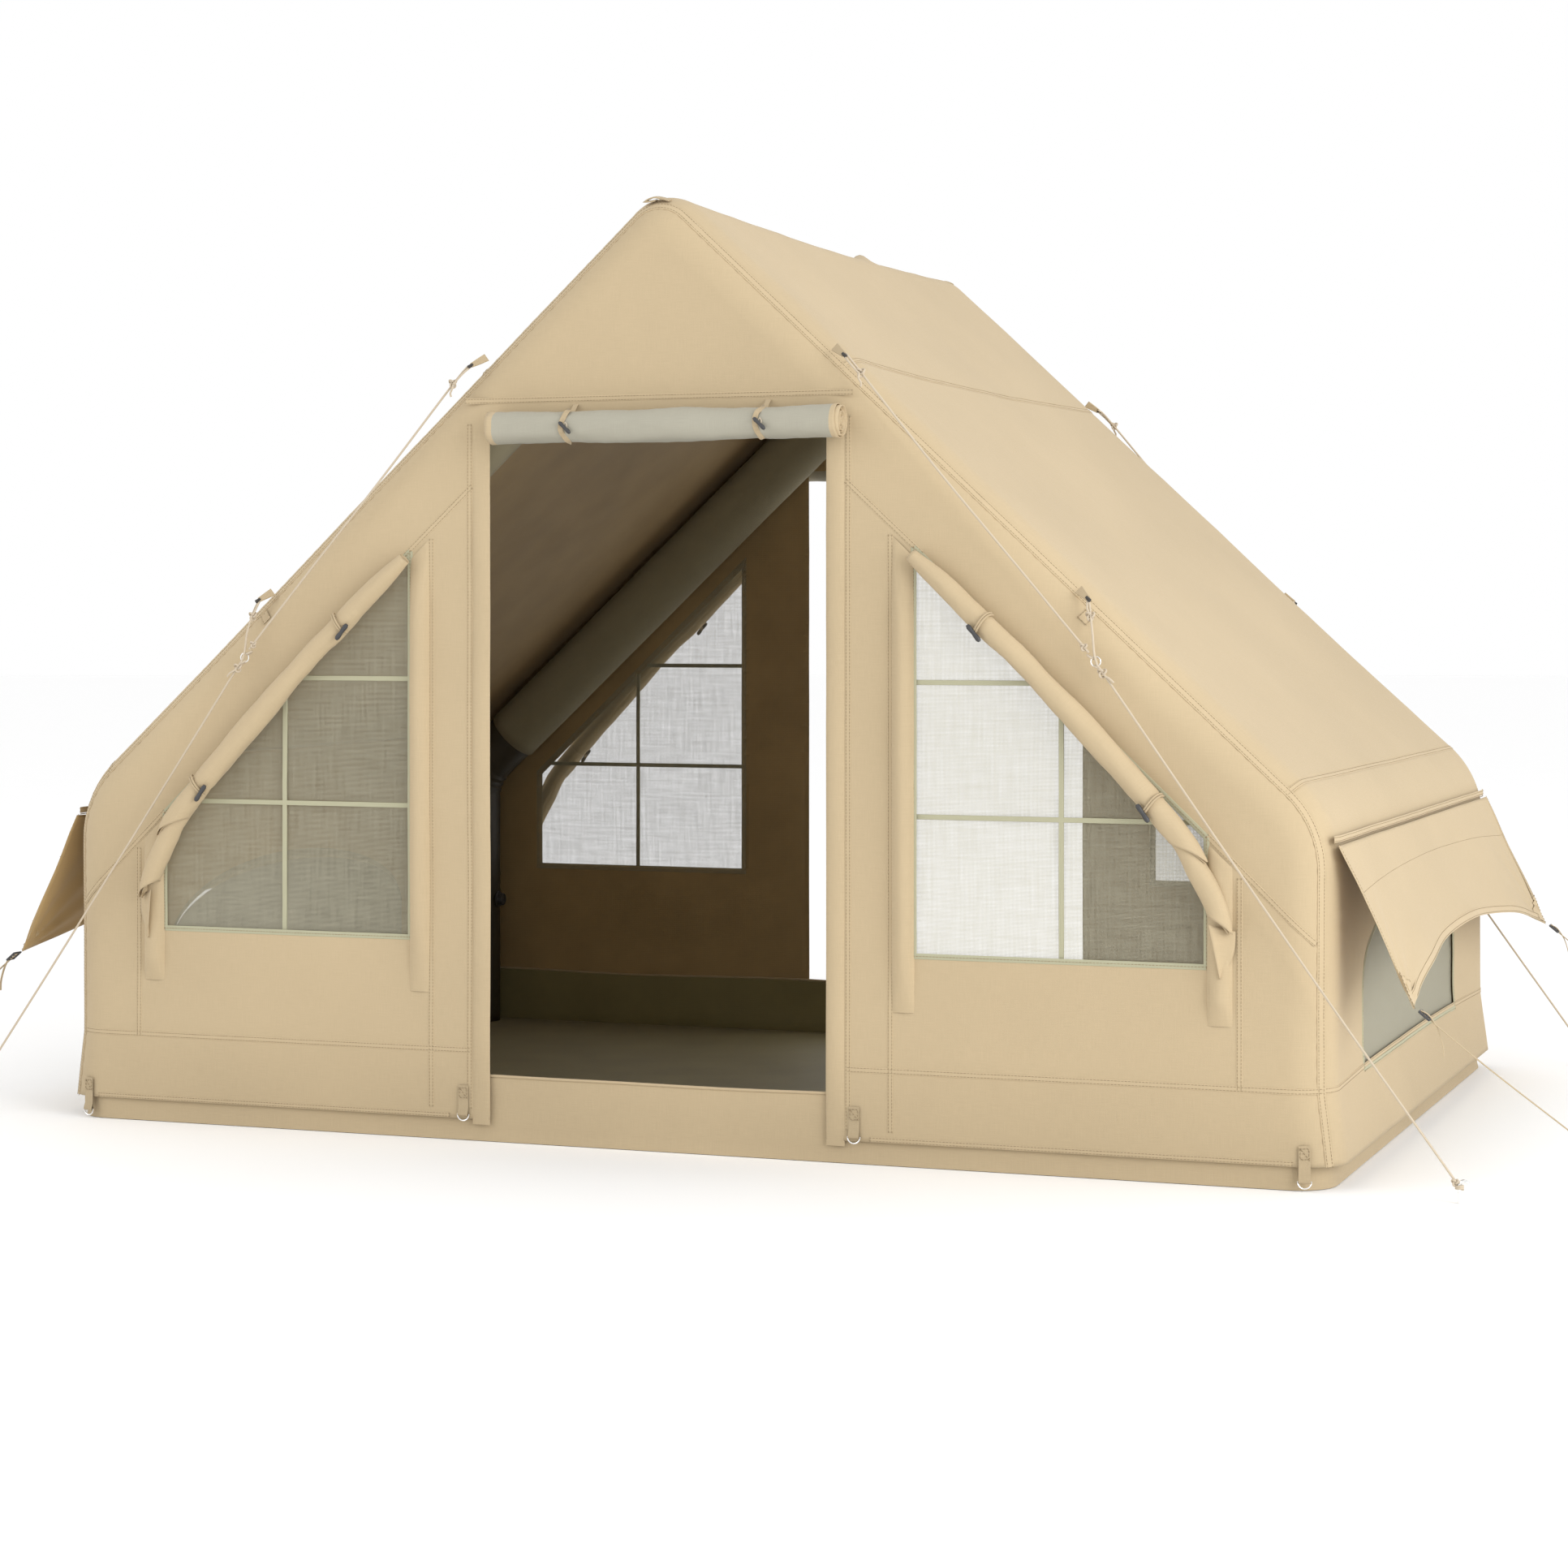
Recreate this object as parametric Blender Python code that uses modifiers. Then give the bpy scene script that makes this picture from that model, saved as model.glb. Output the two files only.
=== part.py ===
"""Inflatable house tent: two air-beam arches inside a skin of sewn fabric panels, on a tub groundsheet,
with screened windows, rolled-up door and window flaps, two side awnings, guy lines and pegs.

Metres, +Z up. The origin is on the ground at the middle of the floor. The front door faces -Y.
"""

import math

import bmesh
import bpy
from mathutils import Matrix, Vector

# Tent body
DEPTH = 2.10            # front gable face to rear gable face
WALL_X = 1.508          # half width at the side walls
HEM_X = 1.525           # the skirt flares out to here at its hem
HEM_Z = 0.05
SKIRT_Z = 0.20
KNEE_Z = 0.767          # height where the side wall's and the roof's planes would meet
APEX_Z = 2.166          # height where the two roof planes would meet
KNEE_R = 0.25
CROWN_R = 0.11
EDGE_R = 0.095          # rounded edge between a gable and the roof and side walls
ROOF_SEAM_Z = 1.75
SKIN = 0.003
GAP = 0.0003            # between neighbours that touch
SEAM_GAP = 0.001        # between panels that are sewn together
KNEE_STEPS = 6
CROWN_STEPS = 4
EDGE_STEPS = 8
CUT_DEPTH = 0.06        # of the cutters for the openings
MERGE = 1e-5            # points nearer than this become one

# Openings
DOOR_X = 0.403
DOOR_TOP = 1.60
WINDOW_IN_X = 0.608
WINDOW_OUT_X = 1.24
WINDOW_BOTTOM = 0.46
WINDOW_TOP_IN = 1.324
WINDOW_TOP_OUT = 0.724
SIDE_WINDOW_Y = 0.61
SIDE_WINDOW_BOTTOM = 0.20
SIDE_WINDOW_SPRING = 0.38
SIDE_WINDOW_TOP = 0.55
SCREEN = 0.002
SCREEN_OVERLAP = 0.015

# Groundsheet tub
TUB_X = 1.50
TUB_Y = 1.045
TUB_HEIGHT = 0.15
TUB_CORNER_R = 0.09
TUB_SKIN = 0.003

# Air beams
BEAM_INSET = 0.097      # beam centreline in from the skin's outer face
BEAM_R = 0.075
BEAM_WALL = 0.002
BEAM_CROWN_R = 0.09
SLEEVE_R = 0.0785
SLEEVE_WALL = 0.0015
SLEEVE_END_Z = 0.84     # the sleeve stops just above the knee
VALVE_Z = 0.36
VALVE_R = 0.024
VALVE_CAP_R = 0.017
VALVE_HEIGHT = 0.018
VALVE_FLANGE = 0.004
BEAM_KNEE_STEPS = 5
BEAM_CROWN_STEPS = 4

# Rolled door and window flaps
DOOR_ROLL_R = 0.041
DOOR_ROLL_LENGTH = 0.83
DOOR_ROLL_SHIFT = 0.036
DOOR_ROLL_Z = 1.607
FLAP_R = 0.028
FLAP_ROUTE = [(0.605, 1.318), (0.697, 1.236), (0.783, 1.153), (0.87, 1.073), (1.152, 0.775), (1.231, 0.655),
              (1.274, 0.558), (1.280, 0.43)]

# Side awnings
AWNING_HINGE = (1.506, 0.715)
AWNING_TIP = (1.67, 0.382)
AWNING_HALF = 1.005
AWNING_SCALLOP = 0.104
AWNING_SKIN = 0.002
AWNING_TOP_GAP = 0.004

# Peg-out rings on webbing tabs at the hem: (x, height of the ring's bar, height of the tab's top)
TABS = [(1.45, 0.021, 0.095), (0.468, 0.060, 0.125)]
TAB_WIDTH = 0.025
TAB_SKIN = 0.0024
LOOP_R = 0.004
LOOP_WIDTH = 0.023
LOOP_HOLE_R = 0.0021
LOOP_OUT = 0.0045       # the loop's middle stands this far in front of the wall
RING_R = 0.0145
RING_WIRE_R = 0.0015

# Guy lines, as points at the front right corner
CORD_R = 0.0025
BRIDLE_ROUTE = [(0.447, -1.050, 1.757), (0.480, -1.062, 1.722), (0.66, -1.074, 1.505), (0.84, -1.081, 1.297),
                (0.95, -1.0845, 1.169), (1.001, -1.0848, 1.110)]
GUY_ROUTE = [(0.990, -1.052, 1.228), (0.999, -1.066, 1.199), (1.008, -1.081, 1.150), (1.017, -1.0848, 1.091),
             (1.050, -1.085, 1.042), (1.29, -1.082, 0.701), (1.53, -1.078, 0.364), (1.70, -1.073, 0.130),
             (1.762, -1.070, 0.044)]
GUY_RING = (1.015, -1.080, 1.091)
GUY_RING_R = 0.0105
GUY_PEG = (1.770, -1.070)
STRAP_R = 0.004
STRAP_ROUTE = [(1.679, -1.005, 0.376), (1.80, -1.003, 0.279), (1.93, -1.000, 0.182), (2.05, -0.996, 0.096),
               (2.158, -0.991, 0.036)]
STRAP_PEG = (2.17, -0.990)
PEG_R = 0.004
PEG_HEIGHT = 0.045
PEG_HOOK_R = 0.010

CORNERS = {"front_right": (1, 1), "front_left": (-1, 1), "rear_right": (1, -1), "rear_left": (-1, -1)}

TILT = math.atan2(APEX_Z - KNEE_Z, WALL_X)
ROOF_NORMAL = math.pi / 2 - TILT
KNEE_CENTRE = Vector((WALL_X - KNEE_R, KNEE_Z - KNEE_R * math.tan(ROOF_NORMAL / 2)))
KNEE_INDEX = 2 + KNEE_STEPS
ROOF_INDEX = KNEE_INDEX + 1


def finish(name, color, roughness, metallic=0.0):
    """A material of one even colour."""
    material = bpy.data.materials.new(name)
    material.diffuse_color = (*color, 1.0)
    material.use_nodes = True
    shader = material.node_tree.nodes["Principled BSDF"]
    shader.inputs["Base Color"].default_value = (*color, 1.0)
    shader.inputs["Roughness"].default_value = roughness
    shader.inputs["Metallic"].default_value = metallic
    return material


def clear_scene():
    for obj in list(bpy.data.objects):
        bpy.data.objects.remove(obj, do_unlink=True)


def add_object(name, data, material, collection):
    obj = bpy.data.objects.new(name, data)
    collection.objects.link(obj)
    if material:
        data.materials.append(material)
    return obj


def mesh_of(bm, name, smooth_below=30):
    mesh = bpy.data.meshes.new(name)
    bm.to_mesh(mesh)
    bm.free()
    mesh.shade_smooth()
    mesh.set_sharp_from_angle(angle=math.radians(smooth_below))
    return mesh


def house_profile():
    """(point, outward normal) pairs around the house section, from the right hem over the crown to the left."""
    crown_centre = Vector((0.0, APEX_Z - CROWN_R / math.cos(TILT)))
    half = [(Vector((HEM_X, HEM_Z)), Vector((1, 0))), (Vector((WALL_X, SKIRT_Z)), Vector((1, 0)))]
    for step in range(KNEE_STEPS + 1):
        turn = ROOF_NORMAL * step / KNEE_STEPS
        normal = Vector((math.cos(turn), math.sin(turn)))
        half.append((KNEE_CENTRE + KNEE_R * normal, normal))
    slope = Vector((math.cos(ROOF_NORMAL), math.sin(ROOF_NORMAL)))
    half.append((Vector(((APEX_Z - ROOF_SEAM_Z) / math.tan(TILT), ROOF_SEAM_Z)), slope))
    for step in range(CROWN_STEPS + 1):
        turn = ROOF_NORMAL + (math.pi / 2 - ROOF_NORMAL) * step / CROWN_STEPS
        normal = Vector((math.cos(turn), math.sin(turn)))
        half.append((crown_centre + CROWN_R * normal, normal))
    left = [(Vector((-p.x, p.y)), Vector((-n.x, n.y))) for p, n in reversed(half[:-1])]
    return half + left


PROFILE = house_profile()
LAST = len(PROFILE) - 1


def section(station, first=0, last=LAST, trim_first=True, trim_last=True):
    """The profile from one index to another at a station (inset, y), its seam ends drawn back."""
    inset, y = station
    points = [p - inset * n for p, n in PROFILE[first:last + 1]]
    if trim_first:
        points[0] = points[0] + (points[1] - points[0]).normalized() * SEAM_GAP / 2
    if trim_last:
        points[-1] = points[-1] + (points[-2] - points[-1]).normalized() * SEAM_GAP / 2
    return [Vector((p.x, y, p.y)) for p in points]


def edge_station(turn):
    """(inset, y) of a section on the rounded front edge: turn 0 is the gable face, 90 degrees the roof."""
    return EDGE_R * (1 - math.sin(turn)), -DEPTH / 2 + EDGE_R * (1 - math.cos(turn))


def loft(rows, cap_first=False):
    """An open surface through rows of points, its faces turned away from the tent's middle."""
    bm = bmesh.new()
    grid = [[bm.verts.new(point) for point in row] for row in rows]
    for one, two in zip(grid, grid[1:]):
        for k in range(len(one) - 1):
            bm.faces.new((one[k], one[k + 1], two[k + 1], two[k]))
    if cap_first:
        bm.faces.new(grid[0][::-1])
    bm.normal_update()
    face = bm.faces[:][len(bm.faces) // 2]
    if face.normal.dot(face.calc_center_median() - Vector((0, 0, KNEE_Z))) < 0:
        bmesh.ops.reverse_faces(bm, faces=bm.faces[:])
    return bm


def thicken(obj, thickness):
    """Gives an open surface a wall on its inner side."""
    wall = obj.modifiers.new("wall", "SOLIDIFY")
    wall.thickness = thickness
    wall.offset = -1
    wall.use_even_offset = True
    wall.use_quality_normals = True


def boolean(obj, other, operation, helpers):
    """Cuts or joins a helper object, which stays hidden."""
    helpers.objects.link(other)
    other.hide_render = True
    other.display_type = "WIRE"
    step = obj.modifiers.new(other.name, "BOOLEAN")
    step.operation = operation
    step.solver = "EXACT"
    step.object = other


def turned(obj, half_turn):
    """Turns a piece half round the tent's middle: rear pieces are turned front ones, and left ones right."""
    if half_turn:
        obj.matrix_world = Matrix.Rotation(math.pi, 4, "Z") @ obj.matrix_world
    return obj


def window_outline(margin):
    """The slanted gable window, grown by a margin, as (x, z) points."""
    fall = (WINDOW_TOP_OUT - WINDOW_TOP_IN) / (WINDOW_OUT_X - WINDOW_IN_X)
    lift = margin * math.hypot(1, fall)
    inner, outer, bottom = WINDOW_IN_X - margin, WINDOW_OUT_X + margin, WINDOW_BOTTOM - margin
    top_in = WINDOW_TOP_IN + fall * (inner - WINDOW_IN_X) + lift
    top_out = WINDOW_TOP_IN + fall * (outer - WINDOW_IN_X) + lift
    return [(inner, bottom), (outer, bottom), (outer, top_out), (inner, top_in)]


def side_window_outline(margin, steps=14):
    """The arched side window, grown by a margin, as (y, z) points."""
    half, rise = SIDE_WINDOW_Y + margin, SIDE_WINDOW_TOP - SIDE_WINDOW_SPRING + margin
    points = [(-half, SIDE_WINDOW_BOTTOM - margin), (half, SIDE_WINDOW_BOTTOM - margin)]
    for step in range(steps + 1):
        turn = math.pi * step / steps
        points.append((half * math.cos(turn), SIDE_WINDOW_SPRING + rise * math.sin(turn)))
    return points


def plate(name, outline, thickness, across, up, place, material, collection):
    """A flat outline given a thickness, with its two directions and its middle in space."""
    curve = bpy.data.curves.new(name, "CURVE")
    curve.dimensions = "2D"
    curve.fill_mode = "BOTH"
    curve.extrude = thickness / 2
    spline = curve.splines.new("POLY")
    spline.points.add(len(outline) - 1)
    for point, (u, v) in zip(spline.points, outline):
        point.co = (u, v, 0, 1)
    spline.use_cyclic_u = True
    obj = add_object(name, curve, material, collection)
    across, up = Vector(across), Vector(up)
    turn = Matrix((across, up, across.cross(up))).transposed()
    obj.matrix_world = Matrix.Translation(place) @ turn.to_4x4()
    return obj


def smooth_route(points, count):
    """Evenly indexed points on a smooth curve through a route's own points."""
    route = [Vector(p) for p in points]
    ends = [route[0] * 2 - route[1]] + route + [route[-1] * 2 - route[-2]]
    result = []
    for k in range(count):
        place = k * (len(route) - 1) / (count - 1)
        part = min(int(place), len(route) - 2)
        t = place - part
        a, b, c, d = ends[part:part + 4]
        result.append(0.5 * (2 * b + (c - a) * t + (2 * a - 5 * b + 4 * c - d) * t * t
                             + (3 * b - a - 3 * c + d) * t ** 3))
    return result


def tube(name, points, radius, material, collection, closed=False, sides=8):
    """A round rod or cord along points, with filled ends unless it is closed."""
    curve = bpy.data.curves.new(name, "CURVE")
    curve.dimensions = "3D"
    curve.bevel_depth = radius
    curve.bevel_resolution = sides // 2 - 2
    curve.use_fill_caps = not closed
    spline = curve.splines.new("POLY")
    spline.points.add(len(points) - 1)
    for point, place in zip(spline.points, points):
        point.co = (*place, 1)
    spline.use_cyclic_u = closed
    return add_object(name, curve, material, collection)


def as_mesh(obj, collection):
    """The curve object as a mesh object with its points merged."""
    graph = bpy.context.evaluated_depsgraph_get()
    mesh = bpy.data.meshes.new_from_object(obj.evaluated_get(graph))
    bm = bmesh.new()
    bm.from_mesh(mesh)
    bmesh.ops.remove_doubles(bm, verts=bm.verts[:], dist=MERGE)
    bm.to_mesh(mesh)
    bm.free()
    name, place = obj.name, obj.matrix_world.copy()
    bpy.data.objects.remove(obj)
    result = bpy.data.objects.new(name, mesh)
    collection.objects.link(result)
    result.matrix_world = place
    return result


def prism(name, outline, depth, across, up, place):
    """A cutter made from a flat outline."""
    scene = bpy.context.scene.collection
    solid = plate(name, outline, depth, across, up, place, None, scene)
    bpy.context.view_layer.update()
    solid = as_mesh(solid, scene)
    scene.objects.unlink(solid)
    return solid


def tab_frame(x, out=0.0):
    """The place and turn of a hem tab on the front wall, or of its loop out in front of it, at height 0."""
    corner_x = HEM_X - EDGE_R
    turn = math.asin(max(0.0, (abs(x) - corner_x) / EDGE_R)) * math.copysign(1, x)
    y = -DEPTH / 2 + EDGE_R * (1 - math.cos(turn))
    return Vector((x + out * math.sin(turn), y - out * math.cos(turn), 0)), turn


def hem_tabs():
    """Meshes of the webbing tabs, of the loops at their lower ends, and of the holes through the loops."""
    straps, loops, holes = bmesh.new(), bmesh.new(), bmesh.new()
    lie_down = Matrix.Rotation(math.pi / 2, 4, "Y")
    for x, bar_z, top_z in TABS:
        for side in (1, -1):
            place, turn = tab_frame(side * x)
            spin = Matrix.Rotation(turn, 4, "Z")
            middle = Matrix.Translation(place + Vector((0, 0, (bar_z + top_z) / 2))) @ spin
            size = Matrix.Diagonal((TAB_WIDTH, TAB_SKIN, top_z - bar_z, 1))
            bmesh.ops.create_cube(straps, size=1, matrix=middle @ size)
            loop_place = tab_frame(side * x, LOOP_OUT)[0]
            bar = Matrix.Translation(loop_place + Vector((0, 0, bar_z))) @ spin @ lie_down
            for bm, radius, depth in ((loops, LOOP_R, LOOP_WIDTH), (holes, LOOP_HOLE_R, 2 * TAB_WIDTH)):
                bmesh.ops.create_cone(bm, cap_ends=True, segments=12, radius1=radius, radius2=radius,
                                      depth=depth, matrix=bar)
    return straps, loops, holes


def gable_wall(name, half_turn, material, parts, helpers):
    """Front or rear wall: a flat gable with half of its rounded edge, a doorway, two windows and hem tabs."""
    seam = math.radians(45) - SEAM_GAP / 2 / EDGE_R
    turns = [seam * step / (EDGE_STEPS // 2) for step in range(EDGE_STEPS // 2 + 1)]
    rows = [section(edge_station(turn), trim_first=False, trim_last=False) for turn in turns]
    wall = add_object(name, mesh_of(loft(rows, cap_first=True), name), material, parts)
    thicken(wall, SKIN)
    front = Vector((0, -DEPTH / 2, 0))
    door = [(-DOOR_X, -0.1), (DOOR_X, -0.1), (DOOR_X, DOOR_TOP), (-DOOR_X, DOOR_TOP)]
    windows = window_outline(0)
    for side, outline in (("door", door), ("right", windows), ("left", [(-x, z) for x, z in windows])):
        cut = prism(f"{name}_{side}_cut", outline, CUT_DEPTH, (1, 0, 0), (0, 0, 1), front)
        boolean(wall, turned(cut, half_turn), "DIFFERENCE", helpers)
    for bm, word, operation in zip(hem_tabs(), ("strap", "loop", "hole"), ("UNION", "UNION", "DIFFERENCE")):
        tabs = bpy.data.objects.new(f"{name}_{word}", mesh_of(bm, f"{name}_{word}"))
        boolean(wall, turned(tabs, half_turn), operation, helpers)
    return turned(wall, half_turn)


def long_stations():
    """Stations from the front edge seam to the rear one, for the roof and side panels."""
    seam = math.radians(45) + SEAM_GAP / 2 / EDGE_R
    steps = EDGE_STEPS // 2
    front = [edge_station(seam + (math.pi / 2 - seam) * step / steps) for step in range(steps + 1)]
    return front + [(inset, -y) for inset, y in reversed(front)]


def long_panel(name, first, last, material, parts, hem=False):
    rows = [section(station, first, last, trim_first=not hem) for station in long_stations()]
    panel = add_object(name, mesh_of(loft(rows), name), material, parts)
    thicken(panel, SKIN)
    return panel


def side_wall(name, half_turn, material, parts, helpers):
    wall = long_panel(name, 0, KNEE_INDEX, material, parts, hem=True)
    place = Vector((WALL_X, 0, 0))
    cut = prism(f"{name}_window_cut", side_window_outline(0), CUT_DEPTH, (0, 1, 0), (0, 0, 1), place)
    boolean(wall, turned(cut, half_turn), "DIFFERENCE", helpers)
    turned(wall, half_turn)


def groundsheet(material, parts):
    """Tub floor: an open box with rounded upright corners."""
    bm = bmesh.new()
    size = Matrix.Diagonal((2 * TUB_X, 2 * TUB_Y, TUB_HEIGHT, 1))
    bmesh.ops.create_cube(bm, size=1, matrix=Matrix.Translation((0, 0, TUB_HEIGHT / 2)) @ size)
    top = [face for face in bm.faces if face.normal.z > 0.5]
    bmesh.ops.delete(bm, geom=top, context="FACES_ONLY")
    upright = [e for e in bm.edges if abs(e.verts[0].co.z - e.verts[1].co.z) > TUB_HEIGHT / 2]
    bmesh.ops.bevel(bm, geom=upright, offset=TUB_CORNER_R, segments=6, profile=0.5, affect="EDGES")
    sheet = add_object("groundsheet", mesh_of(bm, "groundsheet"), material, parts)
    thicken(sheet, TUB_SKIN)


def beam_path(sleeve=False):
    """Centreline of an arch beam in its own plane, from the right foot over the crown to the left foot."""
    bend = KNEE_R - BEAM_INSET
    apex = APEX_Z - BEAM_INSET / math.cos(TILT)
    centre = Vector((0, apex - BEAM_CROWN_R / math.cos(TILT)))
    half = []
    if sleeve:
        half.append(Vector(((apex - SLEEVE_END_Z) / math.tan(TILT), SLEEVE_END_Z)))
    else:
        half.append(Vector((WALL_X - BEAM_INSET, TUB_SKIN + GAP)))
        for step in range(BEAM_KNEE_STEPS + 1):
            turn = ROOF_NORMAL * step / BEAM_KNEE_STEPS
            half.append(KNEE_CENTRE + bend * Vector((math.cos(turn), math.sin(turn))))
    for step in range(BEAM_CROWN_STEPS):
        turn = ROOF_NORMAL + (math.pi / 2 - ROOF_NORMAL) * step / BEAM_CROWN_STEPS
        half.append(centre + BEAM_CROWN_R * Vector((math.cos(turn), math.sin(turn))))
    top = [centre + Vector((0, BEAM_CROWN_R))]
    return half + top + [Vector((-p.x, p.y)) for p in reversed(half)]


def air_beam(end, y, materials, parts):
    """The bladder, the sleeve around its sloping part, and its air valve."""
    for name, sleeve, radius, wall in ((f"air_beam_{end}", False, BEAM_R, BEAM_WALL),
                                       (f"beam_sleeve_{end}", True, SLEEVE_R, SLEEVE_WALL)):
        points = [Vector((p.x, y, p.y)) for p in beam_path(sleeve)]
        skin = tube(name, points, radius, materials["sleeve" if sleeve else "bladder"], parts, sides=12)
        skin.data.use_fill_caps = False
        bpy.context.view_layer.update()
        thicken(as_mesh(skin, parts), wall)
    face_x = WALL_X - BEAM_INSET - BEAM_R - GAP
    bm = bmesh.new()
    outline = [(0.0, VALVE_HEIGHT), (VALVE_CAP_R, VALVE_HEIGHT), (VALVE_CAP_R, VALVE_FLANGE),
               (VALVE_R, VALVE_FLANGE), (VALVE_R, 0.0), (0.0, 0.0)]
    verts = [bm.verts.new((radius, 0, height)) for radius, height in outline]
    for one, two in zip(verts, verts[1:]):
        bm.edges.new((one, two))
    name = f"air_valve_{end}"
    valve = add_object(name, mesh_of(bm, name), materials["hardware"], parts)
    screw = valve.modifiers.new("turn", "SCREW")
    screw.steps = screw.render_steps = 20
    screw.use_merge_vertices = True
    screw.merge_threshold = MERGE
    valve.location = (face_x, y, VALVE_Z)
    valve.rotation_euler = (0, -math.pi / 2, 0)


def screens(end, facing, material, parts):
    """Mesh screens behind one gable's two windows."""
    y = facing * (DEPTH / 2 - SKIN - GAP - SCREEN / 2)
    for side, sign in (("right", 1), ("left", -1)):
        outline = [(sign * x, z) for x, z in window_outline(SCREEN_OVERLAP)]
        plate(f"window_screen_{end}_{side}", outline, SCREEN, (1, 0, 0), (0, 0, 1), (0, y, 0), material, parts)


def side_screens(material, parts):
    x = WALL_X - SKIN - GAP - SCREEN / 2
    for side, sign in (("right", 1), ("left", -1)):
        outline = side_window_outline(SCREEN_OVERLAP)
        plate(f"side_screen_{side}", outline, SCREEN, (0, 1, 0), (0, 0, 1), (sign * x, 0, 0), material, parts)


def rolled_flaps(end, facing, materials, parts):
    """The door rolled up over its doorway and the window flaps rolled along their slanted edges."""
    y = facing * (DEPTH / 2 + FLAP_R + GAP)
    for side, sign in (("right", 1), ("left", -1)):
        route = smooth_route([(sign * x, y, z) for x, z in FLAP_ROUTE], 16)
        tube(f"window_flap_{end}_{side}", route, FLAP_R, materials["canvas"], parts, sides=10)
    bm = bmesh.new()
    bmesh.ops.create_cone(bm, cap_ends=True, segments=24, radius1=DOOR_ROLL_R, radius2=DOOR_ROLL_R,
                          depth=DOOR_ROLL_LENGTH, matrix=Matrix.Rotation(math.pi / 2, 4, "Y"))
    name = f"door_roll_{end}"
    roll = add_object(name, mesh_of(bm, name), materials["coating"], parts)
    roll.location = (-facing * DOOR_ROLL_SHIFT, facing * (DEPTH / 2 + DOOR_ROLL_R + GAP), DOOR_ROLL_Z)


def awning(side, sign, material, parts):
    """The flap that shades a side window, held out from the wall along its top edge."""
    hinge = Vector((sign * AWNING_HINGE[0], 0, AWNING_HINGE[1]))
    tip = Vector((sign * AWNING_TIP[0], 0, AWNING_TIP[1]))
    up = (hinge - tip).normalized()
    drop = (hinge - tip).length
    outline = [(-AWNING_HALF, -AWNING_TOP_GAP), (AWNING_HALF, -AWNING_TOP_GAP)]
    steps = 12
    for step in range(steps + 1):
        along = 1 - 2 * step / steps
        outline.append((AWNING_HALF * along, -drop + AWNING_SCALLOP * (1 - along * along)))
    plate(f"awning_{side}", outline, AWNING_SKIN, (0, 1, 0), up, hinge, material, parts)


def peg_ring(name, x, bar_z, facing, material, parts):
    """A D-shaped ring whose straight bar lies in a hem tab's loop."""
    place, turn = tab_frame(x, LOOP_OUT)
    steps = 10
    points = [(RING_R * math.cos(math.pi * k / steps), 0, -RING_R * math.sin(math.pi * k / steps))
              for k in range(steps + 1)]
    ring = tube(name, points, RING_WIRE_R, material, parts, closed=True, sides=6)
    spin = Matrix.Rotation(0 if facing < 0 else math.pi, 4, "Z")
    ring.matrix_world = spin @ Matrix.Translation(place + Vector((0, 0, bar_z))) @ Matrix.Rotation(turn, 4, "Z")


def peg(name, x, y, lean, material, parts):
    """The hooked head and the part of a peg's shank that stand above the ground."""
    straight = PEG_HEIGHT - PEG_HOOK_R
    points = [Vector((x, y, 0)), Vector((x, y, straight))]
    for step in range(1, 6):
        turn = math.radians(150) * step / 5
        points.append(Vector((x + lean * PEG_HOOK_R * (1 - math.cos(turn)), y,
                              straight + PEG_HOOK_R * math.sin(turn))))
    tube(name, points, PEG_R, material, parts)


def corner_lines(corner, sx, sy, materials, parts):
    """The guy line, its bridle, ring and peg, and the awning's strap and peg, at one corner."""
    def placed(route):
        return [(sx * x, sy * y, z) for x, y, z in route]

    tube(f"bridle_{corner}", smooth_route(placed(BRIDLE_ROUTE), 20), CORD_R, materials["cord"], parts)
    tube(f"guy_line_{corner}", smooth_route(placed(GUY_ROUTE), 28), CORD_R, materials["cord"], parts)
    centre = placed([GUY_RING])[0]
    steps = 14
    ring = [(centre[0] + GUY_RING_R * math.cos(2 * math.pi * k / steps), centre[1],
             centre[2] + GUY_RING_R * math.sin(2 * math.pi * k / steps)) for k in range(steps)]
    tube(f"guy_ring_{corner}", ring, RING_WIRE_R, materials["metal"], parts, closed=True, sides=6)
    peg(f"guy_peg_{corner}", sx * GUY_PEG[0], sy * GUY_PEG[1], sx, materials["metal"], parts)
    tube(f"awning_strap_{corner}", smooth_route(placed(STRAP_ROUTE), 14), STRAP_R, materials["canvas"], parts)
    peg(f"awning_peg_{corner}", sx * STRAP_PEG[0], sy * STRAP_PEG[1], sx, materials["metal"], parts)


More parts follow.
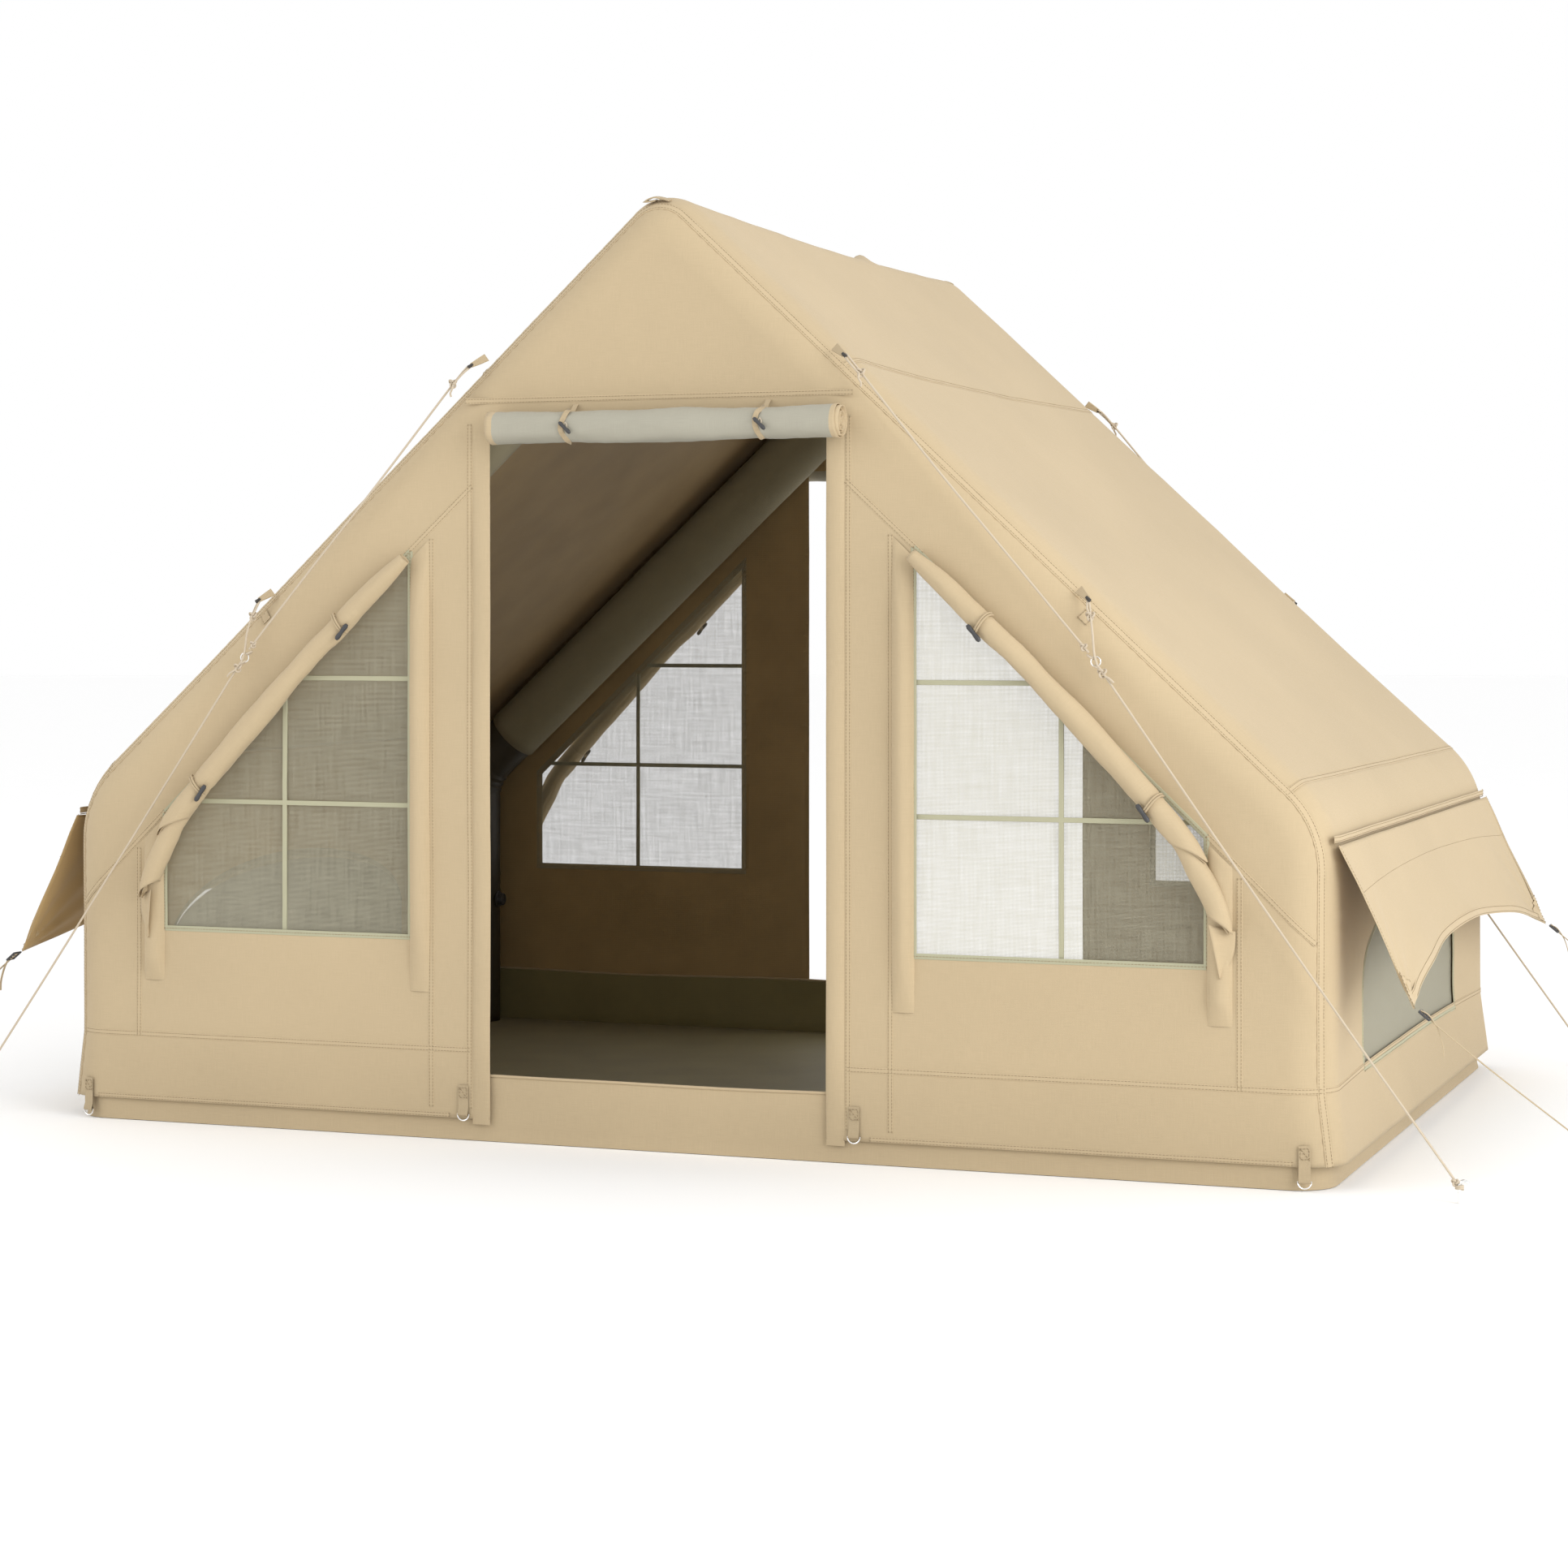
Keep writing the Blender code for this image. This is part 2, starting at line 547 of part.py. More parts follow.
def main():
    clear_scene()
    scene = bpy.context.scene
    parts = bpy.data.collections.new("house_tent")
    helpers = bpy.data.collections.new("cutters")
    scene.collection.children.link(parts)
    scene.collection.children.link(helpers)
    materials = {
        "canvas": finish("tan_canvas", (0.67, 0.54, 0.33), 0.85),
        "coating": finish("canvas_coating", (0.51, 0.48, 0.39), 0.7),
        "tub": finish("groundsheet", (0.16, 0.15, 0.10), 0.55),
        "mesh": finish("insect_mesh", (0.70, 0.69, 0.62), 0.9),
        "sleeve": finish("beam_sleeve", (0.10, 0.095, 0.07), 0.8),
        "bladder": finish("beam_bladder", (0.02, 0.018, 0.017), 0.45),
        "cord": finish("guy_cord", (0.52, 0.44, 0.33), 0.8),
        "metal": finish("plated_steel", (0.85, 0.85, 0.84), 0.25, 1.0),
        "hardware": finish("black_plastic", (0.04, 0.04, 0.042), 0.5),
    }
    groundsheet(materials["tub"], parts)
    gable_wall("front_wall", False, materials["canvas"], parts, helpers)
    gable_wall("rear_wall", True, materials["canvas"], parts, helpers)
    for side, half_turn in (("right", False), ("left", True)):
        side_wall(f"side_wall_{side}", half_turn, materials["canvas"], parts, helpers)
        turned(long_panel(f"roof_slope_{side}", KNEE_INDEX, ROOF_INDEX, materials["canvas"], parts), half_turn)
    long_panel("roof_ridge_panel", ROOF_INDEX, LAST - ROOF_INDEX, materials["canvas"], parts)
    for end, facing in (("front", -1), ("rear", 1)):
        air_beam(end, facing * (DEPTH / 2 - BEAM_INSET), materials, parts)
        screens(end, facing, materials["mesh"], parts)
        rolled_flaps(end, facing, materials, parts)
        for x, bar_z, _ in TABS:
            for side, sign in (("right", -facing), ("left", facing)):
                place = "corner" if x > 1 else "door"
                peg_ring(f"peg_ring_{end}_{side}_{place}", sign * x, bar_z, facing, materials["metal"], parts)
    side_screens(materials["mesh"], parts)
    for side, sign in (("right", 1), ("left", -1)):
        awning(side, sign, materials["canvas"], parts)
    for corner, (sx, sy) in CORNERS.items():
        corner_lines(corner, sx, sy, materials, parts)


main()
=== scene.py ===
"""Looks of the inflatable house tent: draped canvas panels, seams with their stitches, screens, rolled flaps,
awnings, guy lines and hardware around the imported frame.

Metres, +Z up. The front doorway faces -Y. Rear pieces are the front ones turned half round the tent's middle.
"""

import math

import bmesh
import bpy
from mathutils import Matrix, Vector, noise


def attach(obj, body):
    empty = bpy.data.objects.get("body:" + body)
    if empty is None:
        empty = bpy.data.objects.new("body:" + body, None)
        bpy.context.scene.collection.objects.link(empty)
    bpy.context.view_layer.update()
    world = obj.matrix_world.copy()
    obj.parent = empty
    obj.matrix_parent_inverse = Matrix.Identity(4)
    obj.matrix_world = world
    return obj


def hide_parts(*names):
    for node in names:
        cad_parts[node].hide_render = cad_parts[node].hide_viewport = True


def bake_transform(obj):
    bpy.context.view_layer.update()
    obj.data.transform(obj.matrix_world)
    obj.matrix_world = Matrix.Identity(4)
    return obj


bl_info = {
    "name": "Inflatable House Tent",
    "version": (1, 0, 0),
    "blender": (4, 5, 0),
    "location": "View3D > Sidebar > Tent",
    "description": "Makes the canvas, screens, flaps, awnings, guy lines and fittings of a house-shaped tent",
    "category": "Add Mesh",
}

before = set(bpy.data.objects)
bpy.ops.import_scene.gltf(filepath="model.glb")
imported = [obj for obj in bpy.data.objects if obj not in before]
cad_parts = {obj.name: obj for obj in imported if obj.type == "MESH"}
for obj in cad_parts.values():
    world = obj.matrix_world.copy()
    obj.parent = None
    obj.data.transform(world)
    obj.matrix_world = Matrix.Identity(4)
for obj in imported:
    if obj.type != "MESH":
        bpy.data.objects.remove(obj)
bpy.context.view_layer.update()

# Tent body, as in the CAD source
HALF_DEPTH = 1.05
WALL_X = 1.508
HEM_X = 1.525
HEM_Z = 0.05
SKIRT_Z = 0.20
KNEE_Z = 0.767
APEX_Z = 2.166
KNEE_R = 0.25
CROWN_R = 0.11
EDGE_R = 0.095
ROOF_SEAM_Z = 1.75
SKIN = 0.0015
SKIN_STEP = 0.0135

# Openings
DOOR_X = 0.403
DOOR_TOP = 1.60
WINDOW = ((0.608, 0.46), (1.24, 0.46), (1.24, 0.724), (0.608, 1.324))
SIDE_WINDOW_Y = 0.61
SIDE_WINDOW_BOTTOM = 0.20
SIDE_WINDOW_SPRING = 0.38
SIDE_WINDOW_TOP = 0.55
SCREEN_IN = 0.005
WINDOW_LAP = 0.014

# Groundsheet tub
TUB_X = 1.50
TUB_Y = 1.045
TUB_HEIGHT = 0.15
TUB_CORNER_R = 0.09

# Air beams
BEAM_INSET = 0.097
BEAM_R = 0.075
BEAM_CROWN_R = 0.09
SLEEVE_R = 0.0785
SLEEVE_END_Z = 0.84
VALVE_Z = 0.36

# Rolled flaps
DOOR_ROLL_R = 0.041
DOOR_ROLL_LENGTH = 0.83
DOOR_ROLL_SHIFT = 0.036
DOOR_ROLL_Z = 1.607
FLAP_R = 0.0305
FLAP_OUT = 0.0275
FLAP_ROUTE = [(0.605, 1.318), (0.697, 1.236), (0.783, 1.153), (0.87, 1.073), (1.152, 0.775), (1.231, 0.655),
              (1.274, 0.558), (1.280, 0.43)]
FLAP_HEMS = (0.700, 0.548)
FLAP_TAIL = ((1.258, 0.548), (1.307, 0.532), (1.278, 0.432))
TOGGLE_X = (0.768, 1.140)

# Side awnings
AWNING_HINGE = (1.506, 0.715)
AWNING_TIP = (1.67, 0.382)
AWNING_HALF = 1.005
AWNING_SCALLOP = 0.104
AWNING_LONG = 0.37

# Webbing tabs at the hem: (x, height of the ring's bar, height of the tab's top)
TABS = [(1.45, 0.021, 0.095), (0.468, 0.060, 0.125)]
TAB_WIDTH = 0.025
LOOP_OUT = 0.0045

# Guy lines, as points at the front right corner
CORD_R = 0.0025
BRIDLE_ROUTE = [(0.447, -1.050, 1.757), (0.480, -1.062, 1.722), (0.66, -1.074, 1.505), (0.84, -1.081, 1.297),
                (0.95, -1.0845, 1.169), (1.001, -1.0848, 1.110)]
GUY_ROUTE = [(0.990, -1.052, 1.228), (0.999, -1.066, 1.199), (1.008, -1.081, 1.150), (1.017, -1.0848, 1.091),
             (1.050, -1.085, 1.042), (1.29, -1.082, 0.701), (1.53, -1.078, 0.364), (1.70, -1.073, 0.130),
             (1.762, -1.070, 0.044)]
STRAP_ROUTE = [(1.679, -1.005, 0.376), (1.80, -1.003, 0.279), (1.93, -1.000, 0.182), (2.05, -0.996, 0.096),
               (2.158, -0.991, 0.036)]
CORNERS = {"front_right": (1, 1), "front_left": (-1, 1), "rear_right": (1, -1), "rear_left": (-1, -1)}

TILT = math.atan2(APEX_Z - KNEE_Z, WALL_X)
ROOF_TURN = math.pi / 2 - TILT
KNEE_CENTRE = Vector((WALL_X - KNEE_R, KNEE_Z - KNEE_R * math.tan(ROOF_TURN / 2)))
CROWN_CENTRE = Vector((0.0, APEX_Z - CROWN_R / math.cos(TILT)))
SLOPE = Vector((math.cos(ROOF_TURN), math.sin(ROOF_TURN)))
KNEE_END = KNEE_CENTRE + KNEE_R * SLOPE
CROWN_START = CROWN_CENTRE + CROWN_R * SLOPE

# Distances along the house section from its hem
AT_SKIRT = math.hypot(HEM_X - WALL_X, SKIRT_Z - HEM_Z)
AT_KNEE = AT_SKIRT + KNEE_CENTRE.y - SKIRT_Z
AT_SLOPE = AT_KNEE + KNEE_R * ROOF_TURN
AT_CROWN = AT_SLOPE + (CROWN_START - KNEE_END).length
AT_TOP = AT_CROWN + CROWN_R * (math.pi / 2 - ROOF_TURN)
AT_ROOF_SEAM = AT_SLOPE + (ROOF_SEAM_Z - KNEE_END.y) / math.sin(TILT)


# ---------------------------------------------------------------- settings

class TentShape(bpy.types.PropertyGroup):
    """Sizes of the soft parts."""
    waist_pull: bpy.props.FloatProperty(
        name="Waist", description="How far the side walls are drawn in at mid depth", default=0.028,
        min=0.0, max=0.06, unit="LENGTH", subtype="DISTANCE")
    roof_sag: bpy.props.FloatProperty(
        name="Roof sag", description="How far the roof hangs between the two arches", default=0.016,
        min=0.0, max=0.05, unit="LENGTH", subtype="DISTANCE")
    crease: bpy.props.FloatProperty(
        name="Creases", description="Depth of the soft creases in the canvas", default=0.0032,
        min=0.0, max=0.01, unit="LENGTH", subtype="DISTANCE")
    pucker: bpy.props.FloatProperty(
        name="Pucker", description="Depth of the small gathers beside the main seams", default=0.0010,
        min=0.0, max=0.004, unit="LENGTH", subtype="DISTANCE")
    seam_width: bpy.props.FloatProperty(
        name="Seam width", description="Width of a felled seam", default=0.013,
        min=0.004, max=0.04, unit="LENGTH", subtype="DISTANCE")
    stitch_pitch: bpy.props.FloatProperty(
        name="Stitch pitch", description="Distance from one stitch to the next", default=0.0075,
        min=0.002, max=0.02, unit="LENGTH", subtype="DISTANCE")
    stitch_length: bpy.props.FloatProperty(
        name="Stitch length", description="Length of one stitch", default=0.0052,
        min=0.001, max=0.015, unit="LENGTH", subtype="DISTANCE")
    awning_sag: bpy.props.FloatProperty(
        name="Awning sag", description="How far the awnings hang in at the middle", default=0.013,
        min=0.0, max=0.06, unit="LENGTH", subtype="DISTANCE")


class TentColours(bpy.types.PropertyGroup):
    """Colours of the cloths and fittings."""
    canvas: bpy.props.FloatVectorProperty(
        name="Canvas", description="Outside of the canvas", default=(0.50, 0.394, 0.248), size=3,
        min=0.0, max=1.0, subtype="COLOR")
    # The inside of the canvas is coated cloth; its colour is also made lighter and warmer as painted light, standing
    # in for daylight glowing through the canvas.
    lining: bpy.props.FloatVectorProperty(
        name="Lining", description="Coated inside of the canvas", default=(0.42, 0.288, 0.128), size=3,
        min=0.0, max=1.0, subtype="COLOR")
    coating: bpy.props.FloatVectorProperty(
        name="Door roll", description="Coated back of the door, which shows when it is rolled up",
        default=(0.38, 0.36, 0.29), size=3, min=0.0, max=1.0, subtype="COLOR")
    trim: bpy.props.FloatVectorProperty(
        name="Trim", description="Binding tape of the screens", default=(0.43, 0.415, 0.285), size=3,
        min=0.0, max=1.0, subtype="COLOR")
    thread: bpy.props.FloatVectorProperty(
        name="Thread", description="Sewing thread", default=(0.29, 0.22, 0.13), size=3,
        min=0.0, max=1.0, subtype="COLOR")
    cord: bpy.props.FloatVectorProperty(
        name="Cord", description="Guy cord", default=(0.73, 0.68, 0.59), size=3,
        min=0.0, max=1.0, subtype="COLOR")
    tub: bpy.props.FloatVectorProperty(
        name="Groundsheet", description="Floor and inside of the tub", default=(0.25, 0.21, 0.088), size=3,
        min=0.0, max=1.0, subtype="COLOR")
    floor: bpy.props.FloatVectorProperty(
        name="Studio floor", description="Floor under the tent", default=(0.99, 0.99, 0.99), size=3,
        min=0.0, max=1.0, subtype="COLOR")


# ---------------------------------------------------------------- finishes

def put(tree, kind, inputs=None, **settings):
    """A node with its settings and inputs; an input that is a socket is linked."""
    node = tree.nodes.new(kind)
    for key, value in settings.items():
        setattr(node, key, value)
    for key, value in (inputs or {}).items():
        if isinstance(value, bpy.types.NodeSocket):
            tree.links.new(value, node.inputs[key])
        else:
            node.inputs[key].default_value = value
    return node


def new_finish(name, roughness, metallic=0.0, sheen=0.0):
    """A material with its shader's even values set."""
    material = bpy.data.materials.new(name)
    material.use_nodes = True
    tree = material.node_tree
    shader = tree.nodes["Principled BSDF"]
    shader.inputs["Roughness"].default_value = roughness
    shader.inputs["Metallic"].default_value = metallic
    shader.inputs["Sheen Weight"].default_value = sheen
    return material, tree, shader


def maths(tree, operation, one, two=0.0):
    return put(tree, "ShaderNodeMath", {0: one, 1: two}, operation=operation).outputs[0]


def mixed(tree, one, share, two, other):
    """Two patterns added, each with its own share."""
    return maths(tree, "ADD", maths(tree, "MULTIPLY", one, share), maths(tree, "MULTIPLY", two, other))


def ribs(tree, value, turns):
    """A row of humps along a value."""
    return maths(tree, "ABSOLUTE", maths(tree, "SINE", maths(tree, "MULTIPLY", value, turns)))


def raised(material, strength, distance, height):
    """The material, with a pattern that raises its surface."""
    tree = material.node_tree
    bump = put(tree, "ShaderNodeBump", {"Strength": strength, "Distance": distance, "Height": height})
    tree.links.new(bump.outputs[0], tree.nodes["Principled BSDF"].inputs["Normal"])
    return material


def tinted(tree, color, shade, low, high):
    """An even colour made lighter and darker by a 0 to 1 pattern."""
    level = put(tree, "ShaderNodeMapRange", {"Value": shade, "To Min": low, "To Max": high}).outputs[0]
    mix = put(tree, "ShaderNodeVectorMath", {0: (*color,), "Scale": level}, operation="SCALE")
    return mix.outputs[0]


def stretched_noise(tree, coordinates, scale, stretch, detail=2.0):
    place = put(tree, "ShaderNodeMapping", {"Vector": coordinates, "Scale": stretch}).outputs[0]
    return put(tree, "ShaderNodeTexNoise", {"Vector": place, "Scale": scale, "Detail": detail}).outputs["Fac"]


def woven(name, color, roughness=0.88, sheen=0.1, thread=0.0016, contrast=1.0, fine=0.25):
    """Cloth: plain weave and slubby threads from its UV map in metres, soft blotches from its place."""
    material, tree, shader = new_finish(name, roughness, sheen=sheen)
    shader.inputs["Specular IOR Level"].default_value = 0.15
    where = put(tree, "ShaderNodeTexCoord")
    cloth, place = where.outputs["UV"], where.outputs["Object"]
    warp = stretched_noise(tree, cloth, 1.0, (900.0, 26.0, 1.0))
    weft = stretched_noise(tree, cloth, 1.0, (26.0, 900.0, 1.0))
    slubs = mixed(tree, warp, 0.5, weft, 0.5)
    split = put(tree, "ShaderNodeSeparateXYZ", {0: cloth})
    step = 2 * math.pi / thread
    waves = [maths(tree, "SINE", maths(tree, "MULTIPLY", split.outputs[k], step)) for k in (0, 1)]
    weave = maths(tree, "MULTIPLY", *waves)
    blotches = put(tree, "ShaderNodeTexNoise", {"Vector": place, "Scale": 1.7, "Detail": 4.0}).outputs["Fac"]
    height = put(tree, "ShaderNodeSeparateXYZ", {0: place}).outputs[2]
    clean = put(tree, "ShaderNodeMapRange", {"Value": height, "From Min": 0.03, "From Max": 0.24,
                                             "To Min": -0.25, "To Max": 0.0}).outputs[0]
    shade = mixed(tree, slubs, 0.55, blotches, 0.45)
    shade = maths(tree, "ADD", shade, clean)
    low, high = 1 - 0.22 * contrast, 1 + 0.22 * contrast
    tree.links.new(tinted(tree, color, shade, low, high), shader.inputs["Base Color"])
    relief = mixed(tree, weave, 0.35, slubs, 1.6)
    return raised(material, fine, 0.0012, relief)


def lining(name, color):
    """Coated inside of the canvas: smoother, with faint ripstop lines and folds; the folds also lighten and darken its
    colour, as painted shade.
    """
    material, tree, shader = new_finish(name, 0.6, sheen=0.1)
    where = put(tree, "ShaderNodeTexCoord")
    split = put(tree, "ShaderNodeSeparateXYZ", {0: where.outputs["UV"]})
    lines = [maths(tree, "POWER", ribs(tree, split.outputs[k], 2 * math.pi / 0.008), 24.0) for k in (0, 1)]
    grid = maths(tree, "MAXIMUM", *lines)
    folds = put(tree, "ShaderNodeTexNoise", {"Vector": where.outputs["Object"], "Scale": 6.0, "Detail": 3.0})
    # Painted shade: the fold noise that raises the surface also lightens its crests and darkens its hollows in the
    # colour.
    shade = mixed(tree, grid, 0.25, folds.outputs["Fac"], 0.75)
    tree.links.new(tinted(tree, color, shade, 0.75, 1.3), shader.inputs["Base Color"])
    return raised(material, 0.2, 0.002, shade)


def netting(name, color, cell=0.0022):
    """See-through insect mesh: square threads from the UV map, open between them."""
    material, tree, shader = new_finish(name, 0.8)
    where = put(tree, "ShaderNodeTexCoord")
    split = put(tree, "ShaderNodeSeparateXYZ", {0: where.outputs["UV"]})
    threads = [maths(tree, "POWER", ribs(tree, split.outputs[k], math.pi / cell), 3.0) for k in (0, 1)]
    weave = maths(tree, "MAXIMUM", *threads)
    cover = put(tree, "ShaderNodeMapRange", {"Value": weave, "From Min": 0.1, "From Max": 0.9,
                                             "To Min": 0.12, "To Max": 0.66}).outputs[0]
    slubs = maths(tree, "ADD", *(stretched_noise(tree, where.outputs["UV"], 1.0, stretch)
                                 for stretch in ((150.0, 9.0, 1.0), (9.0, 150.0, 1.0))))
    uneven = put(tree, "ShaderNodeMapRange", {"Value": slubs, "From Min": 0.6, "From Max": 1.4,
                                              "To Min": -0.12, "To Max": 0.12}).outputs[0]
    tree.links.new(maths(tree, "ADD", cover, uneven), shader.inputs["Alpha"])
    tree.links.new(tinted(tree, color, weave, 0.8, 1.1), shader.inputs["Base Color"])
    return raised(material, 0.3, 0.0005, weave)


def braided(name, color, width=0.0016):
    """Cord: crossing strands from the UV map, in metres along it and round it."""
    material, tree, shader = new_finish(name, 0.7, sheen=0.2)
    where = put(tree, "ShaderNodeTexCoord")
    split = put(tree, "ShaderNodeSeparateXYZ", {0: where.outputs["UV"]})
    strands = [ribs(tree, maths(tree, operation, split.outputs[0], split.outputs[1]), math.pi / width)
               for operation in ("ADD", "SUBTRACT")]
    braid = maths(tree, "MAXIMUM", *strands)
    tree.links.new(tinted(tree, color, braid, 0.55, 1.12), shader.inputs["Base Color"])
    return raised(material, 0.6, 0.0006, braid)


def moulded(name, color, roughness=0.45, metallic=0.0, scale=220.0, depth=0.15):
    """Plastic, film or plated wire: fine grain and a little wear."""
    material, tree, shader = new_finish(name, roughness, metallic)
    where = put(tree, "ShaderNodeTexCoord")
    grain = put(tree, "ShaderNodeTexNoise", {"Vector": where.outputs["Object"], "Scale": scale, "Detail": 3.0})
    tree.links.new(tinted(tree, color, grain.outputs["Fac"], 0.8, 1.2), shader.inputs["Base Color"])
    worn = put(tree, "ShaderNodeMapRange", {"Value": grain.outputs["Fac"], "To Min": roughness - 0.12,
                                            "To Max": roughness + 0.15})
    tree.links.new(worn.outputs[0], shader.inputs["Roughness"])
    return raised(material, depth, 0.0005, grain.outputs["Fac"])


def finish_of(name):
    """The tent's finish of that name, made the first time it is asked for."""
    if name in bpy.data.materials:
        return bpy.data.materials[name]
    tint = bpy.context.scene.tent_colours
    canvas = tuple(tint.canvas)
    makers = {
        "canvas": lambda: woven(name, canvas),
        "canvas_binding": lambda: woven(name, [c * 1.06 for c in canvas], roughness=0.75, thread=0.0022, fine=0.4),
        # Painted light: the lining's colour also stands in for daylight shining through the canvas.
        "canvas_lining_painted_glow": lambda: lining(name, tuple(tint.lining)),
        "door_coating": lambda: woven(name, tuple(tint.coating), roughness=0.7, sheen=0.1, fine=0.15),
        "screen_trim": lambda: woven(name, tuple(tint.trim), roughness=0.8, thread=0.0022, contrast=0.7, fine=0.35),
        "insect_netting": lambda: netting(name, (0.41, 0.385, 0.285)),
        "thread": lambda: woven(name, tuple(tint.thread), thread=0.001, contrast=0.8),
        "webbing": lambda: woven(name, [c * 0.98 for c in canvas], roughness=0.7, thread=0.0026, fine=0.7),
        "guy_cord": lambda: braided(name, tuple(tint.cord)),
        "tub_sheet": lambda: lining(name, tuple(tint.tub)),
        "sleeve_cloth": lambda: woven(name, (0.32, 0.28, 0.18), roughness=0.8, contrast=1.2, fine=0.35),
        "bladder_film": lambda: moulded(name, (0.050, 0.043, 0.030), 0.5, scale=30.0, depth=0.25),
        "dark_plastic": lambda: moulded(name, (0.045, 0.045, 0.047), 0.45),
        "plated_wire": lambda: moulded(name, (0.88, 0.88, 0.87), 0.28, metallic=1.0, scale=300.0, depth=0.1),
        # Painted shade: a near black colour for the shade inside the opening at each pull tab's end.
        "pull_tab_painted_shade": lambda: woven(name, (0.06, 0.055, 0.05), roughness=0.7, fine=0.5),
    }
    return makers[name]()


# ---------------------------------------------------------------- mesh tools

def ease(low, high, value):
    share = min(max((value - low) / (high - low), 0.0), 1.0)
    return share * share * (3 - 2 * share)


def net(bm, rows, uvs=None, slot=0, wrap=False, flip=False):
    """Faces between rows of points, with UVs of the same layout; wrap joins each row's ends."""
    layer = bm.loops.layers.uv.verify()
    grid = [[bm.verts.new(point) for point in row] for row in rows]
    for i in range(len(grid) - 1):
        count = len(grid[i])
        for k in range(count if wrap else count - 1):
            corners = [(i, k), (i, k + 1), (i + 1, k + 1), (i + 1, k)]
            if flip:
                corners.reverse()
            face = bm.faces.new([grid[a][b % count] for a, b in corners])
            face.material_index = slot
            for loop, (a, b) in zip(face.loops, corners):
                if uvs is not None:
                    loop[layer].uv = uvs[a][b]
    return grid


def cap(bm, ring, slot=0, flip=False):
    """A face that closes a ring of vertices."""
    face = bm.faces.new(ring[::-1] if flip else ring)
    face.material_index = slot
    layer = bm.loops.layers.uv.verify()
    middle = face.calc_center_median()
    for loop in face.loops:
        away = loop.vert.co - middle
        loop[layer].uv = (away.x + away.y, away.z + away.y)
    return face


def headings(path, up):
    """(direction, side, up) at each point of a path."""
    result = []
    for k, point in enumerate(path):
        ahead = (path[min(k + 1, len(path) - 1)] - path[max(k - 1, 0)]).normalized()
        side = ahead.cross(up).normalized()
        result.append((ahead, side, side.cross(ahead).normalized()))
    return result


def lengths(path):
    total, result = 0.0, [0.0]
    for one, two in zip(path, path[1:]):
        total += (two - one).length
        result.append(total)
    return result


def sweep(bm, path, outline, up=Vector((0, -1, 0)), slot=0, closed=False, capped=True):
    """A solid with an outline, a function of (share along, distance along) giving (side, up) points, along a path."""
    far = lengths(path)
    rows, uvs = [], []
    for point, (_, side, over), along in zip(path, headings(path, up), far):
        ring = outline(along / max(far[-1], 1e-9), along)
        rows.append([point + side * a + over * b for a, b in ring])
        around, row = 0.0, []
        for k in range(len(ring) + 1):
            row.append((along, around))
            one, two = ring[k % len(ring)], ring[(k + 1) % len(ring)]
            around += math.hypot(two[0] - one[0], two[1] - one[1])
        uvs.append(row)
    if closed:
        rows.append(rows[0])
        uvs.append([(far[-1] + 0.001, v) for _, v in uvs[0]])
    grid = net(bm, rows, uvs, slot, wrap=True)
    if capped and not closed:
        cap(bm, grid[0], slot, flip=True)
        cap(bm, grid[-1], slot)
    return grid


def circle(radius, sides=10):
    ring = [(radius * math.cos(2 * math.pi * k / sides), radius * math.sin(2 * math.pi * k / sides))
            for k in range(sides)]
    return lambda share, along: ring


def rectangle(width, height):
    """An outline with slightly rounded corners, lying on the path."""
    a, b, c = width / 2, height, min(height, width) * 0.3
    ring = [(-a + c, 0), (a - c, 0), (a, c), (a, b - c), (a - c, b), (-a + c, b), (-a, b - c), (-a, c)]
    return lambda share, along: ring


def smooth_route(points, count):
    """Evenly indexed points on a smooth curve through a route's own points."""
    route = [Vector(p) for p in points]
    ends = [route[0] * 2 - route[1]] + route + [route[-1] * 2 - route[-2]]
    result = []
    for k in range(count):
        place = k * (len(route) - 1) / (count - 1)
        part = min(int(place), len(route) - 2)
        t = place - part
        a, b, c, d = ends[part:part + 4]
        result.append(0.5 * (2 * b + (c - a) * t + (2 * a - 5 * b + 4 * c - d) * t * t
                             + (3 * b - a - 3 * c + d) * t ** 3))
    return result


def line(points, step=0.015):
    """Points about a step apart on the straight lines through a route."""
    route = [Vector(p) for p in points]
    result = [route[0]]
    for one, two in zip(route, route[1:]):
        count = max(1, round((two - one).length / step))
        result += [one.lerp(two, k / count) for k in range(1, count + 1)]
    return result


def new_object(name, data):
    made = bpy.data.objects.new(name, data)
    bpy.context.scene.collection.objects.link(made)
    return made


def add_piece(name, bm, materials, body="root", stands_for=(), half_turn=False, outward=False,
              sharp=40):
    """Makes a mesh object of a piece, rides it on its body and hides the imported parts that it stands for."""
    bmesh.ops.remove_doubles(bm, verts=bm.verts[:], dist=1e-6)
    if outward:
        bmesh.ops.recalc_face_normals(bm, faces=bm.faces[:])
    mesh = bpy.data.meshes.new(name)
    bm.to_mesh(mesh)
    bm.free()
    if half_turn:
        mesh.transform(Matrix.Rotation(math.pi, 4, "Z"))
    mesh.shade_smooth()
    mesh.set_sharp_from_angle(angle=math.radians(sharp))
    for material in materials:
        mesh.materials.append(finish_of(material))
    piece = new_object(name, mesh)
    if body:
        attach(piece, body)
    if stands_for:
        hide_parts(*stands_for)
    return piece


def give_wall(piece, thickness, inner_slot=0):
    wall = piece.modifiers.new("cloth", "SOLIDIFY")
    wall.thickness = thickness
    wall.offset = -1
    wall.material_offset = inner_slot
    wall.use_even_offset = False
    return piece


